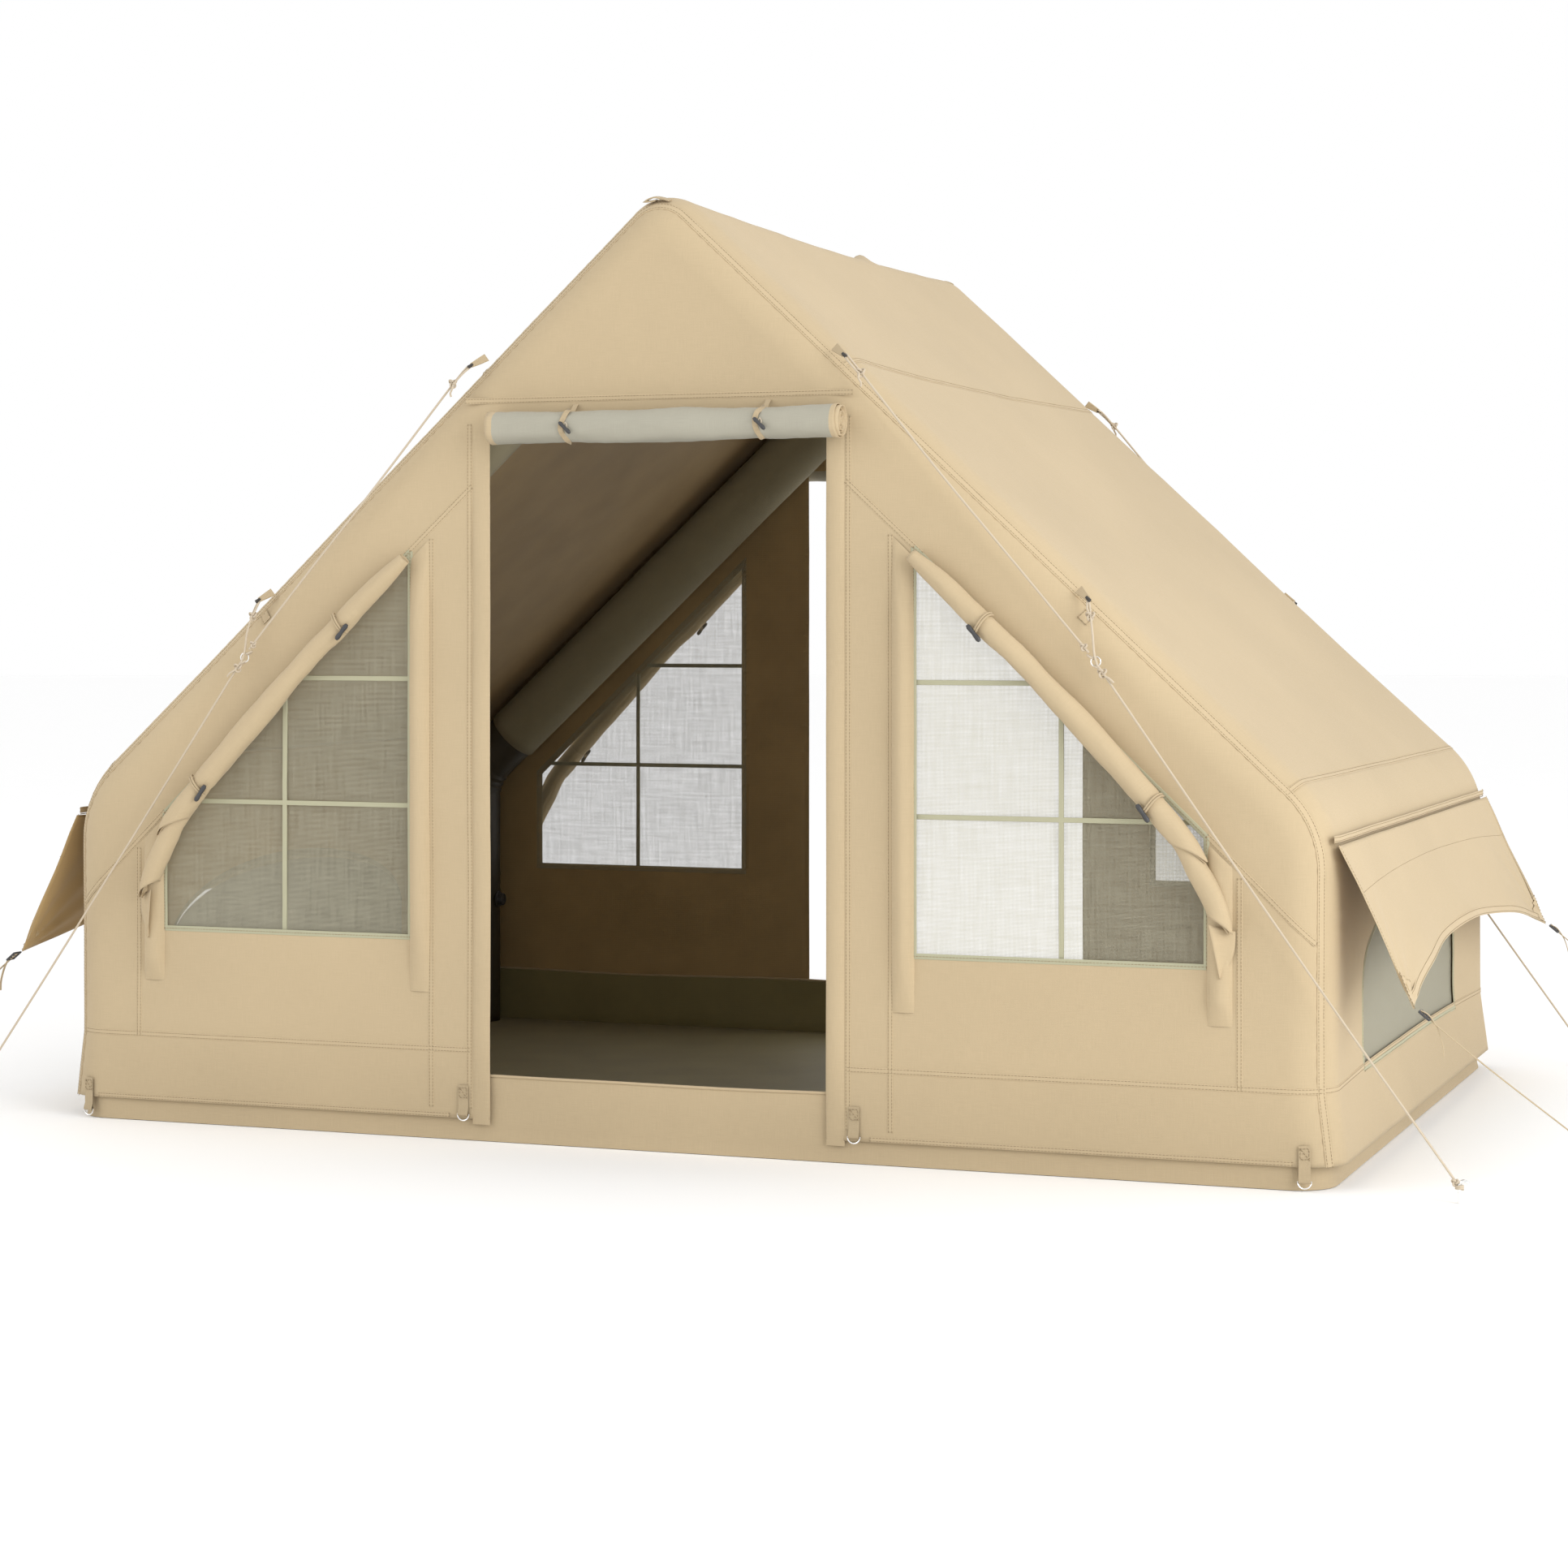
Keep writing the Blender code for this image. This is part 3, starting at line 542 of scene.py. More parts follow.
def cut_out(bm, outline, through):
    """Cuts a convex outline out of a surface, straight through along one direction."""
    middle = sum(outline, Vector()) / len(outline)
    inside = bm.faces[:]
    for one, two in zip(outline, outline[1:] + outline[:1]):
        away = (two - one).cross(through).normalized()
        if (middle - one).dot(away) > 0:
            away.negate()
        geometry = list({g for f in inside for g in (f, *f.edges, *f.verts)})
        cut = bmesh.ops.bisect_plane(bm, geom=geometry, plane_co=one, plane_no=away, dist=1e-6)
        inside = [g for g in cut["geom"] if isinstance(g, bmesh.types.BMFace)
                  and (g.calc_center_median() - one).dot(away) < 0]
    bmesh.ops.delete(bm, geom=inside, context="FACES")


def face_out(bm):
    """Turns the faces of a sheet on the tent's right side outwards."""
    bm.normal_update()
    if sum(face.normal.x for face in bm.faces) < 0:
        bmesh.ops.reverse_faces(bm, faces=bm.faces[:])


# ---------------------------------------------------------------- the tent's skin

def house(t):
    """Point and outward normal at a distance along the house section, from the right hem to the left."""
    if t > AT_TOP:
        point, normal = house(max(2 * AT_TOP - t, 0.0))
        return Vector((-point.x, point.y)), Vector((-normal.x, normal.y))
    if t < AT_SKIRT:
        return Vector((HEM_X, HEM_Z)).lerp(Vector((WALL_X, SKIRT_Z)), t / AT_SKIRT), Vector((1, 0))
    if t < AT_KNEE:
        return Vector((WALL_X, SKIRT_Z + t - AT_SKIRT)), Vector((1, 0))
    if t < AT_SLOPE:
        turn = (t - AT_KNEE) / KNEE_R
        normal = Vector((math.cos(turn), math.sin(turn)))
        return KNEE_CENTRE + KNEE_R * normal, normal
    if t < AT_CROWN:
        return KNEE_END.lerp(CROWN_START, (t - AT_SLOPE) / (AT_CROWN - AT_SLOPE)), SLOPE.copy()
    turn = ROOF_TURN + (t - AT_CROWN) / CROWN_R
    normal = Vector((math.cos(turn), math.sin(turn)))
    return CROWN_CENTRE + CROWN_R * normal, normal


def stops(first, last, step):
    """Distances along the house section, closer together round the knees and the crown."""
    marks = {first, last}
    for mark in (AT_SKIRT, AT_KNEE, AT_SLOPE, AT_ROOF_SEAM, AT_CROWN, AT_TOP):
        marks |= {m for m in (mark, 2 * AT_TOP - mark) if first < m < last}
    marks = sorted(marks)
    result = [marks[0]]
    for one, two in zip(marks, marks[1:]):
        count = max(1, math.ceil((two - one) / step - 1e-6))
        result += [one + (two - one) * k / count for k in range(1, count + 1)]
    return result


def draper():
    """A function that settles a point of the taut shape as cloth hangs on the two arches."""
    shape = bpy.context.scene.tent_shape
    pull, sag, depth, gather = shape.waist_pull, shape.roof_sag, shape.crease, shape.pucker

    def drape(point, normal, seam_along=0.0, seam_away=1.0):
        span = max(0.0, 1 - (point.y / HALF_DEPTH) ** 2)
        moved = Vector(point)
        wall = ease(1.30, 1.44, abs(point.x)) * ease(0.04, 0.26, point.z) * (1 - ease(0.42, 0.72, point.z))
        moved.x -= math.copysign(pull * span * wall, point.x)
        roof = ease(0.25, 0.7, normal.z) * ease(0.8, 1.15, point.z)
        moved -= normal * sag * span * roof
        if point.z > 2.0 and abs(point.x) < 0.12:
            moved.z += 0.021 * math.exp(-((point.y - 0.34) / 0.022) ** 2 - (point.x / 0.03) ** 2)
        soft = noise.noise(point * 2.1 + Vector((7.3, 1.1, 4.2)))
        small = noise.noise(point * 6.5 + Vector((2.9, 8.4, 3.3)))
        ridge = (1 - abs(noise.noise(Vector((point.x * 3.1, point.y * 3.1, point.z * 3.7 + 11)))) * 2.4)
        calm = (0.35 + 0.65 * ease(0.0, 0.14, seam_away)) * (0.25 + 0.75 * ease(0.08, 0.2, point.z))
        moved += normal * depth * calm * (soft + 0.35 * small + 0.30 * max(ridge, 0.0) ** 3)
        if seam_away < 0.12:
            wave = math.sin(seam_along * 2 * math.pi / 0.031 + 2.5 * noise.noise(point * 9))
            moved += normal * gather * wave * math.exp(-(seam_away / 0.035) ** 2) * ease(0.002, 0.012, seam_away)
        return moved

    return drape


def skin_point(t, turn=math.pi / 2, y=None):
    """Taut point and normal on the rounded front edge (turn 0 at the gable) or, past it, at a y on the panels."""
    flat, out = house(t)
    inset = EDGE_R * (1 - math.sin(turn))
    if y is None:
        y = -HALF_DEPTH + EDGE_R * (1 - math.cos(turn))
    place = flat - inset * out
    normal = Vector((out.x * math.sin(turn), -math.cos(turn), out.y * math.sin(turn)))
    return Vector((place.x, y, place.y)), normal


def on_skin(drape, t, turn=math.pi / 2, y=None):
    point, normal = skin_point(t, turn, y)
    return drape(point, normal, t, EDGE_R * abs(turn - math.pi / 4)), normal


def on_gable(drape, x, z):
    """Draped point and normal on the flat of the front gable."""
    normal = Vector((0, -1, 0))
    return drape(Vector((x, -HALF_DEPTH, z)), normal, 0.0, 0.3), normal


def on_front(drape, x, z):
    """The same below the knees, running on round the rounded edge."""
    past = abs(x) - (WALL_X - EDGE_R)
    if past <= 0:
        return on_gable(drape, x, z)
    turn = math.asin(min(past / EDGE_R, 1.0))
    normal = Vector((math.copysign(math.sin(turn), x), -math.cos(turn), 0))
    return drape(Vector((x, -HALF_DEPTH + EDGE_R * (1 - math.cos(turn)), z)), normal, 0.0, 0.3), normal


def window_edge(side, margin=0.0):
    """Corners of a gable window grown by a margin, as (x, z) points."""
    (x0, z0), (x1, _), (_, top_out), (_, top_in) = WINDOW
    fall = (top_out - top_in) / (x1 - x0)
    lift = margin * math.hypot(1, fall)
    inner, outer = x0 - margin, x1 + margin
    return [(side * inner, z0 - margin), (side * outer, z0 - margin),
            (side * outer, top_in + fall * (outer - x0) + lift),
            (side * inner, top_in + fall * (inner - x0) + lift)]


def gable_skin(drape):
    """The front gable with its half of the rounded edge, its doorway and its two window openings."""
    bm = bmesh.new()
    along, away = bm.verts.layers.float.new("along"), bm.verts.layers.float.new("away")
    columns = 58
    edge_turns = [math.radians(45) * k / 5 for k in range(1, 6)]
    rows, facts = [], []
    for t in stops(0.0, AT_TOP, SKIN_STEP):
        (face_edge, _), (_, out) = skin_point(t, 0.0), house(t)
        row, fact = [], []
        left = [skin_point(2 * AT_TOP - t, turn)[0] for turn in reversed(edge_turns)]
        for turn, point in zip(reversed(edge_turns), left):
            row.append(point)
            fact.append((t, EDGE_R * (math.pi / 4 - turn)))
        for k in range(2 * columns + 1):
            u = k / columns - 1
            u = math.copysign(1 - (1 - abs(u)) ** 1.12, u) if u else 0.0
            row.append(Vector((face_edge.x * u, -HALF_DEPTH, face_edge.z)))
            fact.append((t, EDGE_R * math.pi / 4 + face_edge.x * (1 - abs(u)) * max(out.x, 0.1)))
        for turn in edge_turns:
            row.append(skin_point(t, turn)[0])
            fact.append((t, EDGE_R * (math.pi / 4 - turn)))
        rows.append(row)
        facts.append(fact)
    grid = net(bm, rows)
    for line_of_verts, fact in zip(grid, facts):
        for vert, (one, two) in zip(line_of_verts, fact):
            vert[along], vert[away] = one, two
    bmesh.ops.remove_doubles(bm, verts=bm.verts[:], dist=1e-5)
    door = [(-DOOR_X, 0.0), (DOOR_X, 0.0), (DOOR_X, DOOR_TOP), (-DOOR_X, DOOR_TOP)]
    for outline in (door, window_edge(1), window_edge(-1)):
        cut_out(bm, [Vector((x, -HALF_DEPTH, z)) for x, z in outline], Vector((0, 1, 0)))
    bm.normal_update()
    layer = bm.loops.layers.uv.verify()
    for face in bm.faces:
        for loop in face.loops:
            loop[layer].uv = (loop.vert.co.x, loop.vert.co.z)
    moves = []
    for vert in bm.verts:
        turn = math.acos(max(-1.0, min(1.0, 1 - (vert.co.y + HALF_DEPTH) / EDGE_R)))
        normal = Vector((0, -1, 0))
        if turn > 1e-3:
            out = house(vert[along])[1]
            normal = Vector((math.copysign(out.x, vert.co.x) * math.sin(turn), -math.cos(turn),
                             out.y * math.sin(turn)))
        moves.append(drape(vert.co, normal, vert[along], abs(vert[away])))
    for vert, moved in zip(bm.verts, moves):
        vert.co = moved
    return bm


def long_places():
    """(turn, y) from the front edge seam to the rear one."""
    turns = [math.radians(45) + math.radians(45) * k / 5 for k in range(6)]
    front = [(turn, -HALF_DEPTH + EDGE_R * (1 - math.cos(turn))) for turn in turns]
    count = 58
    run = 2 * front[-1][1]
    middle = [(math.pi / 2, front[-1][1] - run * k / count) for k in range(1, count)]
    return front + middle + [(turn, -y) for turn, y in reversed(front)]


def long_skin(drape, first, last, window=False):
    """A roof or side panel between two distances along the house section."""
    bm = bmesh.new()
    rows, uvs = [], []
    marks = stops(first, last, SKIN_STEP)
    for t in marks:
        row = []
        for turn, y in long_places():
            point, normal = skin_point(t, turn, y)
            row.append((point, normal, EDGE_R * (turn - math.pi / 4) + max(0.0, 0.955 - abs(y))))
        rows.append(row)
        uvs.append([(point.y, t) for point, _, _ in row])
    flat = net(bm, [[point for point, _, _ in row] for row in rows], uvs)
    facts = {vert: (normal, t, away) for verts, row, t in zip(flat, rows, marks)
             for vert, (_, normal, away) in zip(verts, row)}
    if window:
        cut_out(bm, [Vector((WALL_X, y, z)) for y, z in side_window_edge()], Vector((1, 0, 0)))
    for vert in bm.verts:
        normal, t, away = facts.get(vert, (Vector((1, 0, 0)), 0.0, 1.0))
        vert.co = drape(vert.co, normal, t, away)
    return bm


def side_window_edge(margin=0.0, steps=28):
    """Outline of the arched side window grown by a margin, as (y, z) points."""
    half, rise = SIDE_WINDOW_Y + margin, SIDE_WINDOW_TOP - SIDE_WINDOW_SPRING + margin
    points = [(-half, SIDE_WINDOW_BOTTOM - margin), (half, SIDE_WINDOW_BOTTOM - margin)]
    for k in range(steps + 1):
        turn = math.pi * k / steps
        points.append((half * math.cos(turn), SIDE_WINDOW_SPRING + rise * math.sin(turn)))
    return points


class GableSkins(bpy.types.Operator):
    """Front and rear gables of draped canvas with their openings"""
    bl_idname = "tent.gable_skins"
    bl_label = "Gables"

    def execute(self, context):
        drape = draper()
        for end in ("front", "rear"):
            piece = add_piece(f"{end}_gable_canvas", gable_skin(drape), ("canvas", "canvas_lining_painted_glow"),
                              stands_for=(f"{end}_wall",), half_turn=end == "rear")
            give_wall(piece, SKIN, 1)
        return {"FINISHED"}


class RoofAndSides(bpy.types.Operator):
    """Roof panels and side walls between the two gables"""
    bl_idname = "tent.roof_and_sides"
    bl_label = "Roof and sides"

    def execute(self, context):
        drape = draper()
        for side, turned in (("right", False), ("left", True)):
            for name, node, first, last in (
                    (f"{side}_side_canvas", f"side_wall_{side}", 0.0, AT_SLOPE),
                    (f"{side}_slope_canvas", f"roof_slope_{side}", AT_SLOPE, AT_ROOF_SEAM)):
                window = first == 0.0
                bm = long_skin(drape, first, last, window)
                piece = add_piece(name, bm, ("canvas", "canvas_lining_painted_glow"), stands_for=(node,),
                                  half_turn=turned)
                give_wall(piece, SKIN, 1)
        bm = long_skin(drape, AT_ROOF_SEAM, 2 * AT_TOP - AT_ROOF_SEAM)
        piece = add_piece("ridge_canvas", bm, ("canvas", "canvas_lining_painted_glow"), stands_for=("roof_ridge_panel",))
        give_wall(piece, SKIN, 1)
        return {"FINISHED"}


# ---------------------------------------------------------------- seams and stitches

def band(bm, path, width, height, slot=0, soft=0.35):
    """A raised strip along a path of (point, normal) pairs, with its edges turned down onto the cloth."""
    rows, uvs = [], []
    points = [point for point, _ in path]
    far = lengths(points)
    for k, ((point, normal), along) in enumerate(zip(path, far)):
        ahead = (points[min(k + 1, len(points) - 1)] - points[max(k - 1, 0)]).normalized()
        side = ahead.cross(normal).normalized()
        lift = height * (1 + soft * noise.noise(point * 40))
        row = [(-0.5, -0.6), (-0.5, 0.55), (-0.42, 1.0), (-0.2, 0.8), (0.0, 1.15), (0.2, 0.8), (0.42, 1.0),
               (0.5, 0.55), (0.5, -0.6)]
        rows.append([point + side * width * a + normal * lift * b for a, b in row])
        uvs.append([(along, width * a) for a, _ in row])
    net(bm, rows, uvs, slot, flip=True)


def beside(path, shift, lift):
    """The same path moved sideways on the cloth and lifted off it."""
    points = [point for point, _ in path]
    result = []
    for k, (point, normal) in enumerate(path):
        ahead = (points[min(k + 1, len(points) - 1)] - points[max(k - 1, 0)]).normalized()
        result.append(point + ahead.cross(normal).normalized() * shift + normal * lift)
    return result


def gable_lines(drape):
    """Paths of the front gable's felled seams, each with its own width."""
    flat = []
    for side in (1, -1):
        for x, top in ((0.4535, 1.618), (0.550, 1.36)):
            flat.append(([(side * x, 0.075), (side * x, top)], 1.0))
        flat.append(([(side * 0.450, 1.478), (side * 0.620, 1.322)], 1.0))
        flat.append(([(side * 1.246, 0.728), (side * 1.470, 0.510)], 1.0))
        flat.append(([(side * 1.314, 0.205), (side * 1.314, 0.640)], 1.0))
        flat.append(([(side * 0.455, 0.205), (side * 1.478, 0.205)], 1.0))
        flat.append(([(side * 0.505, HEM_Z + 0.006), (side * 1.478, HEM_Z + 0.006)], 0.8))
    flat.append(([(-0.462, 1.672), (0.462, 1.672)], 1.0))
    return [([on_front(drape, p.x, p.y) for p in line([(x, z, 0) for x, z in route], 0.02)], share)
            for route, share in flat]


def edge_line(drape, turn):
    """A path round the rounded edge at one turn, from the right hem to the left."""
    return [on_skin(drape, t, turn) for t in stops(0.0, 2 * AT_TOP, 0.012)]


def long_line(drape, t):
    """A path from front to rear at one distance along the house section."""
    return [on_skin(drape, t, turn, y) for turn, y in long_places()]


def stitch_tree():
    """Geometry nodes that lay one small thread after another along lines."""
    tree = bpy.data.node_groups.new("stitches_along_lines", "GeometryNodeTree")
    face = tree.interface
    face.new_socket("Geometry", in_out="INPUT", socket_type="NodeSocketGeometry")
    for name, value in (("Pitch", 0.0075), ("Length", 0.0052), ("Thickness", 0.0006)):
        socket = face.new_socket(name, in_out="INPUT", socket_type="NodeSocketFloat")
        socket.default_value = value
    face.new_socket("Thread", in_out="INPUT", socket_type="NodeSocketMaterial")
    face.new_socket("Geometry", in_out="OUTPUT", socket_type="NodeSocketGeometry")
    start = tree.nodes.new("NodeGroupInput")
    end = tree.nodes.new("NodeGroupOutput")
    curve = put(tree, "GeometryNodeMeshToCurve", {"Mesh": start.outputs["Geometry"]})
    spaced = put(tree, "GeometryNodeResampleCurve", {"Curve": curve.outputs[0], "Length": start.outputs["Pitch"]},
                 mode="LENGTH")
    tangent = tree.nodes.new("GeometryNodeInputTangent")
    turn = put(tree, "FunctionNodeAlignRotationToVector", {"Vector": tangent.outputs[0]}, axis="Z")
    jitter = put(tree, "FunctionNodeRandomValue", {"Min": (0.8, 0.8, 0.82), "Max": (1.15, 1.15, 1.05), "Seed": 5},
                 data_type="FLOAT_VECTOR")
    thread = put(tree, "GeometryNodeMeshCylinder", {"Vertices": 5, "Radius": start.outputs["Thickness"],
                                                    "Depth": start.outputs["Length"]})
    laid = put(tree, "GeometryNodeInstanceOnPoints", {
        "Points": spaced.outputs[0], "Instance": thread.outputs["Mesh"], "Rotation": turn.outputs[0],
        "Scale": jitter.outputs["Value"]})
    real = put(tree, "GeometryNodeRealizeInstances", {"Geometry": laid.outputs[0]})
    named = put(tree, "GeometryNodeSetMaterial", {"Geometry": real.outputs[0], "Material": start.outputs["Thread"]})
    tree.links.new(named.outputs[0], end.inputs[0])
    return tree


def sew(name, routes, body="root", half_turn=False):
    """Rows of stitches along routes, laid by the node tree and turned into a plain mesh."""
    shape = bpy.context.scene.tent_shape
    bm = bmesh.new()
    for route in routes:
        verts = [bm.verts.new(point) for point in route]
        for one, two in zip(verts, verts[1:]):
            bm.edges.new((one, two))
    mesh = bpy.data.meshes.new(name + "_lines")
    bm.to_mesh(mesh)
    bm.free()
    if half_turn:
        mesh.transform(Matrix.Rotation(math.pi, 4, "Z"))
    lines = new_object(name + "_lines", mesh)
    tree = bpy.data.node_groups.get("stitches_along_lines") or stitch_tree()
    sewing = lines.modifiers.new("stitches", "NODES")
    sewing.node_group = tree
    values = {"Pitch": shape.stitch_pitch, "Length": shape.stitch_length, "Thickness": 0.0006,
              "Thread": finish_of("thread")}
    for item in tree.interface.items_tree:
        if item.item_type == "SOCKET" and item.in_out == "INPUT" and item.name in values:
            sewing[item.identifier] = values[item.name]
    bpy.context.view_layer.update()
    done = bpy.data.meshes.new_from_object(lines.evaluated_get(bpy.context.evaluated_depsgraph_get()))
    bpy.data.objects.remove(lines)
    done.name = name
    if not done.polygons:
        raise RuntimeError(f"{name}: the node tree made no stitches")
    piece = new_object(name, done)
    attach(piece, body)
    return piece


class SeamsAndStitches(bpy.types.Operator):
    """Felled seams of the canvas with their two rows of stitches"""
    bl_idname = "tent.seams"
    bl_label = "Seams and stitches"

    def execute(self, context):
        drape, width = draper(), context.scene.tent_shape.seam_width
        flat = gable_lines(drape)
        arch = edge_line(drape, math.pi / 4)
        for end in ("front", "rear"):
            bm = bmesh.new()
            rows = []
            for path, share in flat:
                band(bm, path, width * share, 0.0009)
                rows += [beside(path, side * width * share * 0.31, 0.0010) for side in (1, -1)]
            band(bm, arch, 0.019, 0.0014)
            rows += [beside(arch, side * 0.0062, 0.0015) for side in (1, -1)]
            add_piece(f"{end}_gable_seams", bm, ("canvas_binding",), half_turn=end == "rear")
            sew(f"{end}_gable_stitches", rows, half_turn=end == "rear")
        marks = [AT_SKIRT + 0.005, AT_SLOPE, AT_ROOF_SEAM]
        marks += [2 * AT_TOP - mark for mark in marks]
        bm = bmesh.new()
        rows = []
        for t in marks:
            path = long_line(drape, t)
            band(bm, path, width, 0.0010)
            rows += [beside(path, side * width * 0.31, 0.0011) for side in (1, -1)]
        add_piece("roof_and_side_seams", bm, ("canvas_binding",))
        sew("roof_and_side_stitches", rows)
        return {"FINISHED"}


# ---------------------------------------------------------------- screens, trims and strips

def puffy(bm, drape, x0, x1, bottom, top, height, slot=0):
    """A soft strip of folded canvas standing off the gable between two heights; top gives its height at an x."""
    rows, uvs = [], []
    across = 8
    for k in range(61):
        row, uv = [], []
        for j in range(across + 1):
            v = j / across
            x = x0 + (x1 - x0) * v
            z = bottom + (top(x) - bottom) * k / 60
            point, normal = on_gable(drape, x, z)
            swell = height * math.sin(math.pi * v) ** 0.32 * min(1.0, 6 * min(k, 60 - k) / 60 + 0.15)
            swell *= 1 + 0.25 * noise.noise(Vector((x * 9, 3.1, z * 7))) - 0.12 * math.cos(2 * math.pi * v)
            row.append(point + normal * (swell - (0.0004 if j in (0, across) or k in (0, 60) else 0.0)))
            uv.append((x, z))
        rows.append(row)
        uvs.append(uv)
    net(bm, rows, uvs, slot, flip=x1 < x0)


def window_top(x):
    (x0, _), _, (x1, top_out), (_, top_in) = WINDOW
    return top_in + (top_out - top_in) * (abs(x) - x0) / (x1 - x0)


class ScreensAndStrips(bpy.types.Operator):
    """Insect screens of the four gable windows with their tapes, and the strips beside doorways and windows"""
    bl_idname = "tent.screens"
    bl_label = "Window screens and strips"

    def execute(self, context):
        drape = draper()
        for end in ("front", "rear"):
            turned = end == "rear"
            trims, strips = bmesh.new(), bmesh.new()
            rows = []
            for side in (1, -1):
                self.screen(drape, end, side, turned)
                self.tapes(drape, trims, side, rows)
                for x0, x1, drop, height in ((0.553, 0.605, 0.014, 0.019), (1.245, 1.300, 0.004, 0.015)):
                    puffy(strips, drape, side * x0, side * x1, 0.333, lambda x, d=drop: window_top(x) - d, height)
                puffy(strips, drape, side * DOOR_X, side * 0.446, HEM_Z - 0.012, lambda x: 1.60, 0.0055)
            add_piece(f"{end}_window_tapes", trims, ("screen_trim",), half_turn=turned)
            add_piece(f"{end}_storm_strips", strips, ("canvas",), half_turn=turned)
            sew(f"{end}_tape_stitches", rows, half_turn=turned)
        return {"FINISHED"}

    def screen(self, drape, end, side, turned):
        bm = bmesh.new()
        rows, uvs = [], []
        x0, x1 = WINDOW[0][0] - WINDOW_LAP, WINDOW[1][0] + WINDOW_LAP
        for k in range(33):
            x = x0 + (x1 - x0) * k / 32
            low, high = WINDOW[0][1] - WINDOW_LAP, window_top(x) + 0.02
            row, uv = [], []
            for j in range(25):
                z = low + (high - low) * j / 24
                belly = 0.006 * math.sin(math.pi * k / 32) * math.sin(math.pi * j / 24)
                point, normal = on_gable(drape, side * x, z)
                row.append(point - normal * (SCREEN_IN + belly))
                uv.append((side * x, z))
            rows.append(row)
            uvs.append(uv)
        net(bm, rows, uvs, 0, flip=side > 0)
        hand = "right" if (side > 0) != turned else "left"
        piece = add_piece(f"{end}_{hand}_screen", bm, ("insect_netting",), stands_for=(f"window_screen_{end}_{hand}",),
                          half_turn=turned)
        high = window_top(x0) - WINDOW[0][1] + 0.034
        low = window_top(x1) - WINDOW[0][1] + 0.034

    def tapes(self, drape, bm, side, rows):
        frame_path = window_edge(side, 0.0045)
        for one, two in zip(frame_path, frame_path[1:] + frame_path[:1]):
            path = [on_gable(drape, p.x, p.y) for p in line([(*one, 0), (*two, 0)], 0.02)]
            band(bm, path, 0.0125, 0.0012)
            rows.append(beside(path, 0.0, 0.0015))
        (x0, z0), (x1, _), _, _ = WINDOW
        bars = [((0.93, z0), (0.93, window_top(0.93)))]
        for z in (0.755, 1.044):
            reach = x0 + (x1 - x0) * (window_top(x0) - z) / (window_top(x0) - window_top(x1))
            bars.append(((x0, z), (reach, z)))
        for one, two in bars:
            route = line([(side * one[0], one[1], 0), (side * two[0], two[1], 0)], 0.02)
            path = [on_gable(drape, p.x, p.y) for p in route]
            path = [(point - normal * (SCREEN_IN + 0.001), normal) for point, normal in path]
            band(bm, path, 0.011, 0.0022)


class SideWindows(bpy.types.Operator):
    """Arched insect screens low in the side walls, with the covers inside them and their tapes"""
    bl_idname = "tent.side_windows"
    bl_label = "Side windows"

    def execute(self, context):
        drape = draper()
        for side in ("right", "left"):
            turned = side == "left"
            piece = add_piece(f"{side}_side_screen", self.arched(drape, WINDOW_LAP, 14, 0.001), ("insect_netting",),
                              stands_for=(f"side_screen_{side}",), half_turn=turned)
            piece = add_piece(f"{side}_side_cover", self.arched(drape, 0.010, 10, 0.002, 0.022, 0.003, 0.009),
                              ("door_coating",), half_turn=turned)
            give_wall(piece, 0.0008)
            trims = bmesh.new()
            edge = side_window_edge(0.004, 40)
            routes = [edge[2:], [edge[0], edge[1]], [edge[1], edge[2]], [edge[-1], edge[0]]]
            stitches = []
            for route in routes:
                path = []
                for p in line([(y, z, 0) for y, z in route], 0.02):
                    normal = Vector((1, 0, 0))
                    path.append((drape(Vector((WALL_X, p.x, p.y)), normal, 0.0, 0.5), normal))
                band(trims, path, 0.0125, 0.0013)
                stitches.append(beside(path, 0.0, 0.0016))
            bmesh.ops.recalc_face_normals(trims, faces=trims.faces[:])
            add_piece(f"{side}_side_tapes", trims, ("screen_trim",), half_turn=turned)
            sew(f"{side}_side_tape_stitches", stitches, half_turn=turned)
        return {"FINISHED"}

    def arched(self, drape, margin, cells, least, gap=0.0, set_in=0.0, belly=0.0):
        """An upright sheet over the window grown by a margin, with a gap under its arch and a belly inwards."""
        bm = bmesh.new()
        rows, uvs = [], []
        outline = side_window_edge(margin, 40)
        base, normal = outline[0][1], Vector((1, 0, 0))
        for k, (y, top) in enumerate(outline[2:]):
            bend = math.sin(math.pi * k / 40)
            high = max(top - gap * bend, base + least)
            marks = [base + (high - base) * j / cells for j in range(cells + 1)]
            rows.append([drape(Vector((WALL_X, y, z)), normal, 0.0, 0.5)
                         - normal * (SCREEN_IN + set_in + belly * bend * math.sin(math.pi * j / cells))
                         for j, z in enumerate(marks)])
            uvs.append([(y, z) for z in marks])
        net(bm, rows, uvs)
        face_out(bm)
        return bm


# ---------------------------------------------------------------- rolled flaps

def toggle(bm, place, ahead, out, slot, length=0.036, radius=0.0045):
    """A small turned bar with thicker ends, lying along one direction."""
    path = [place + ahead * length * (k / 8 - 0.5) + out * radius for k in range(9)]

    def outline(share, along):
        size = radius * (0.82 + 0.25 * abs(math.cos(math.pi * share)))
        if share in (0.0, 1.0):
            size *= 0.6
        return circle(size, 10)(share, along)

    sweep(bm, path, outline, up=out, slot=slot)


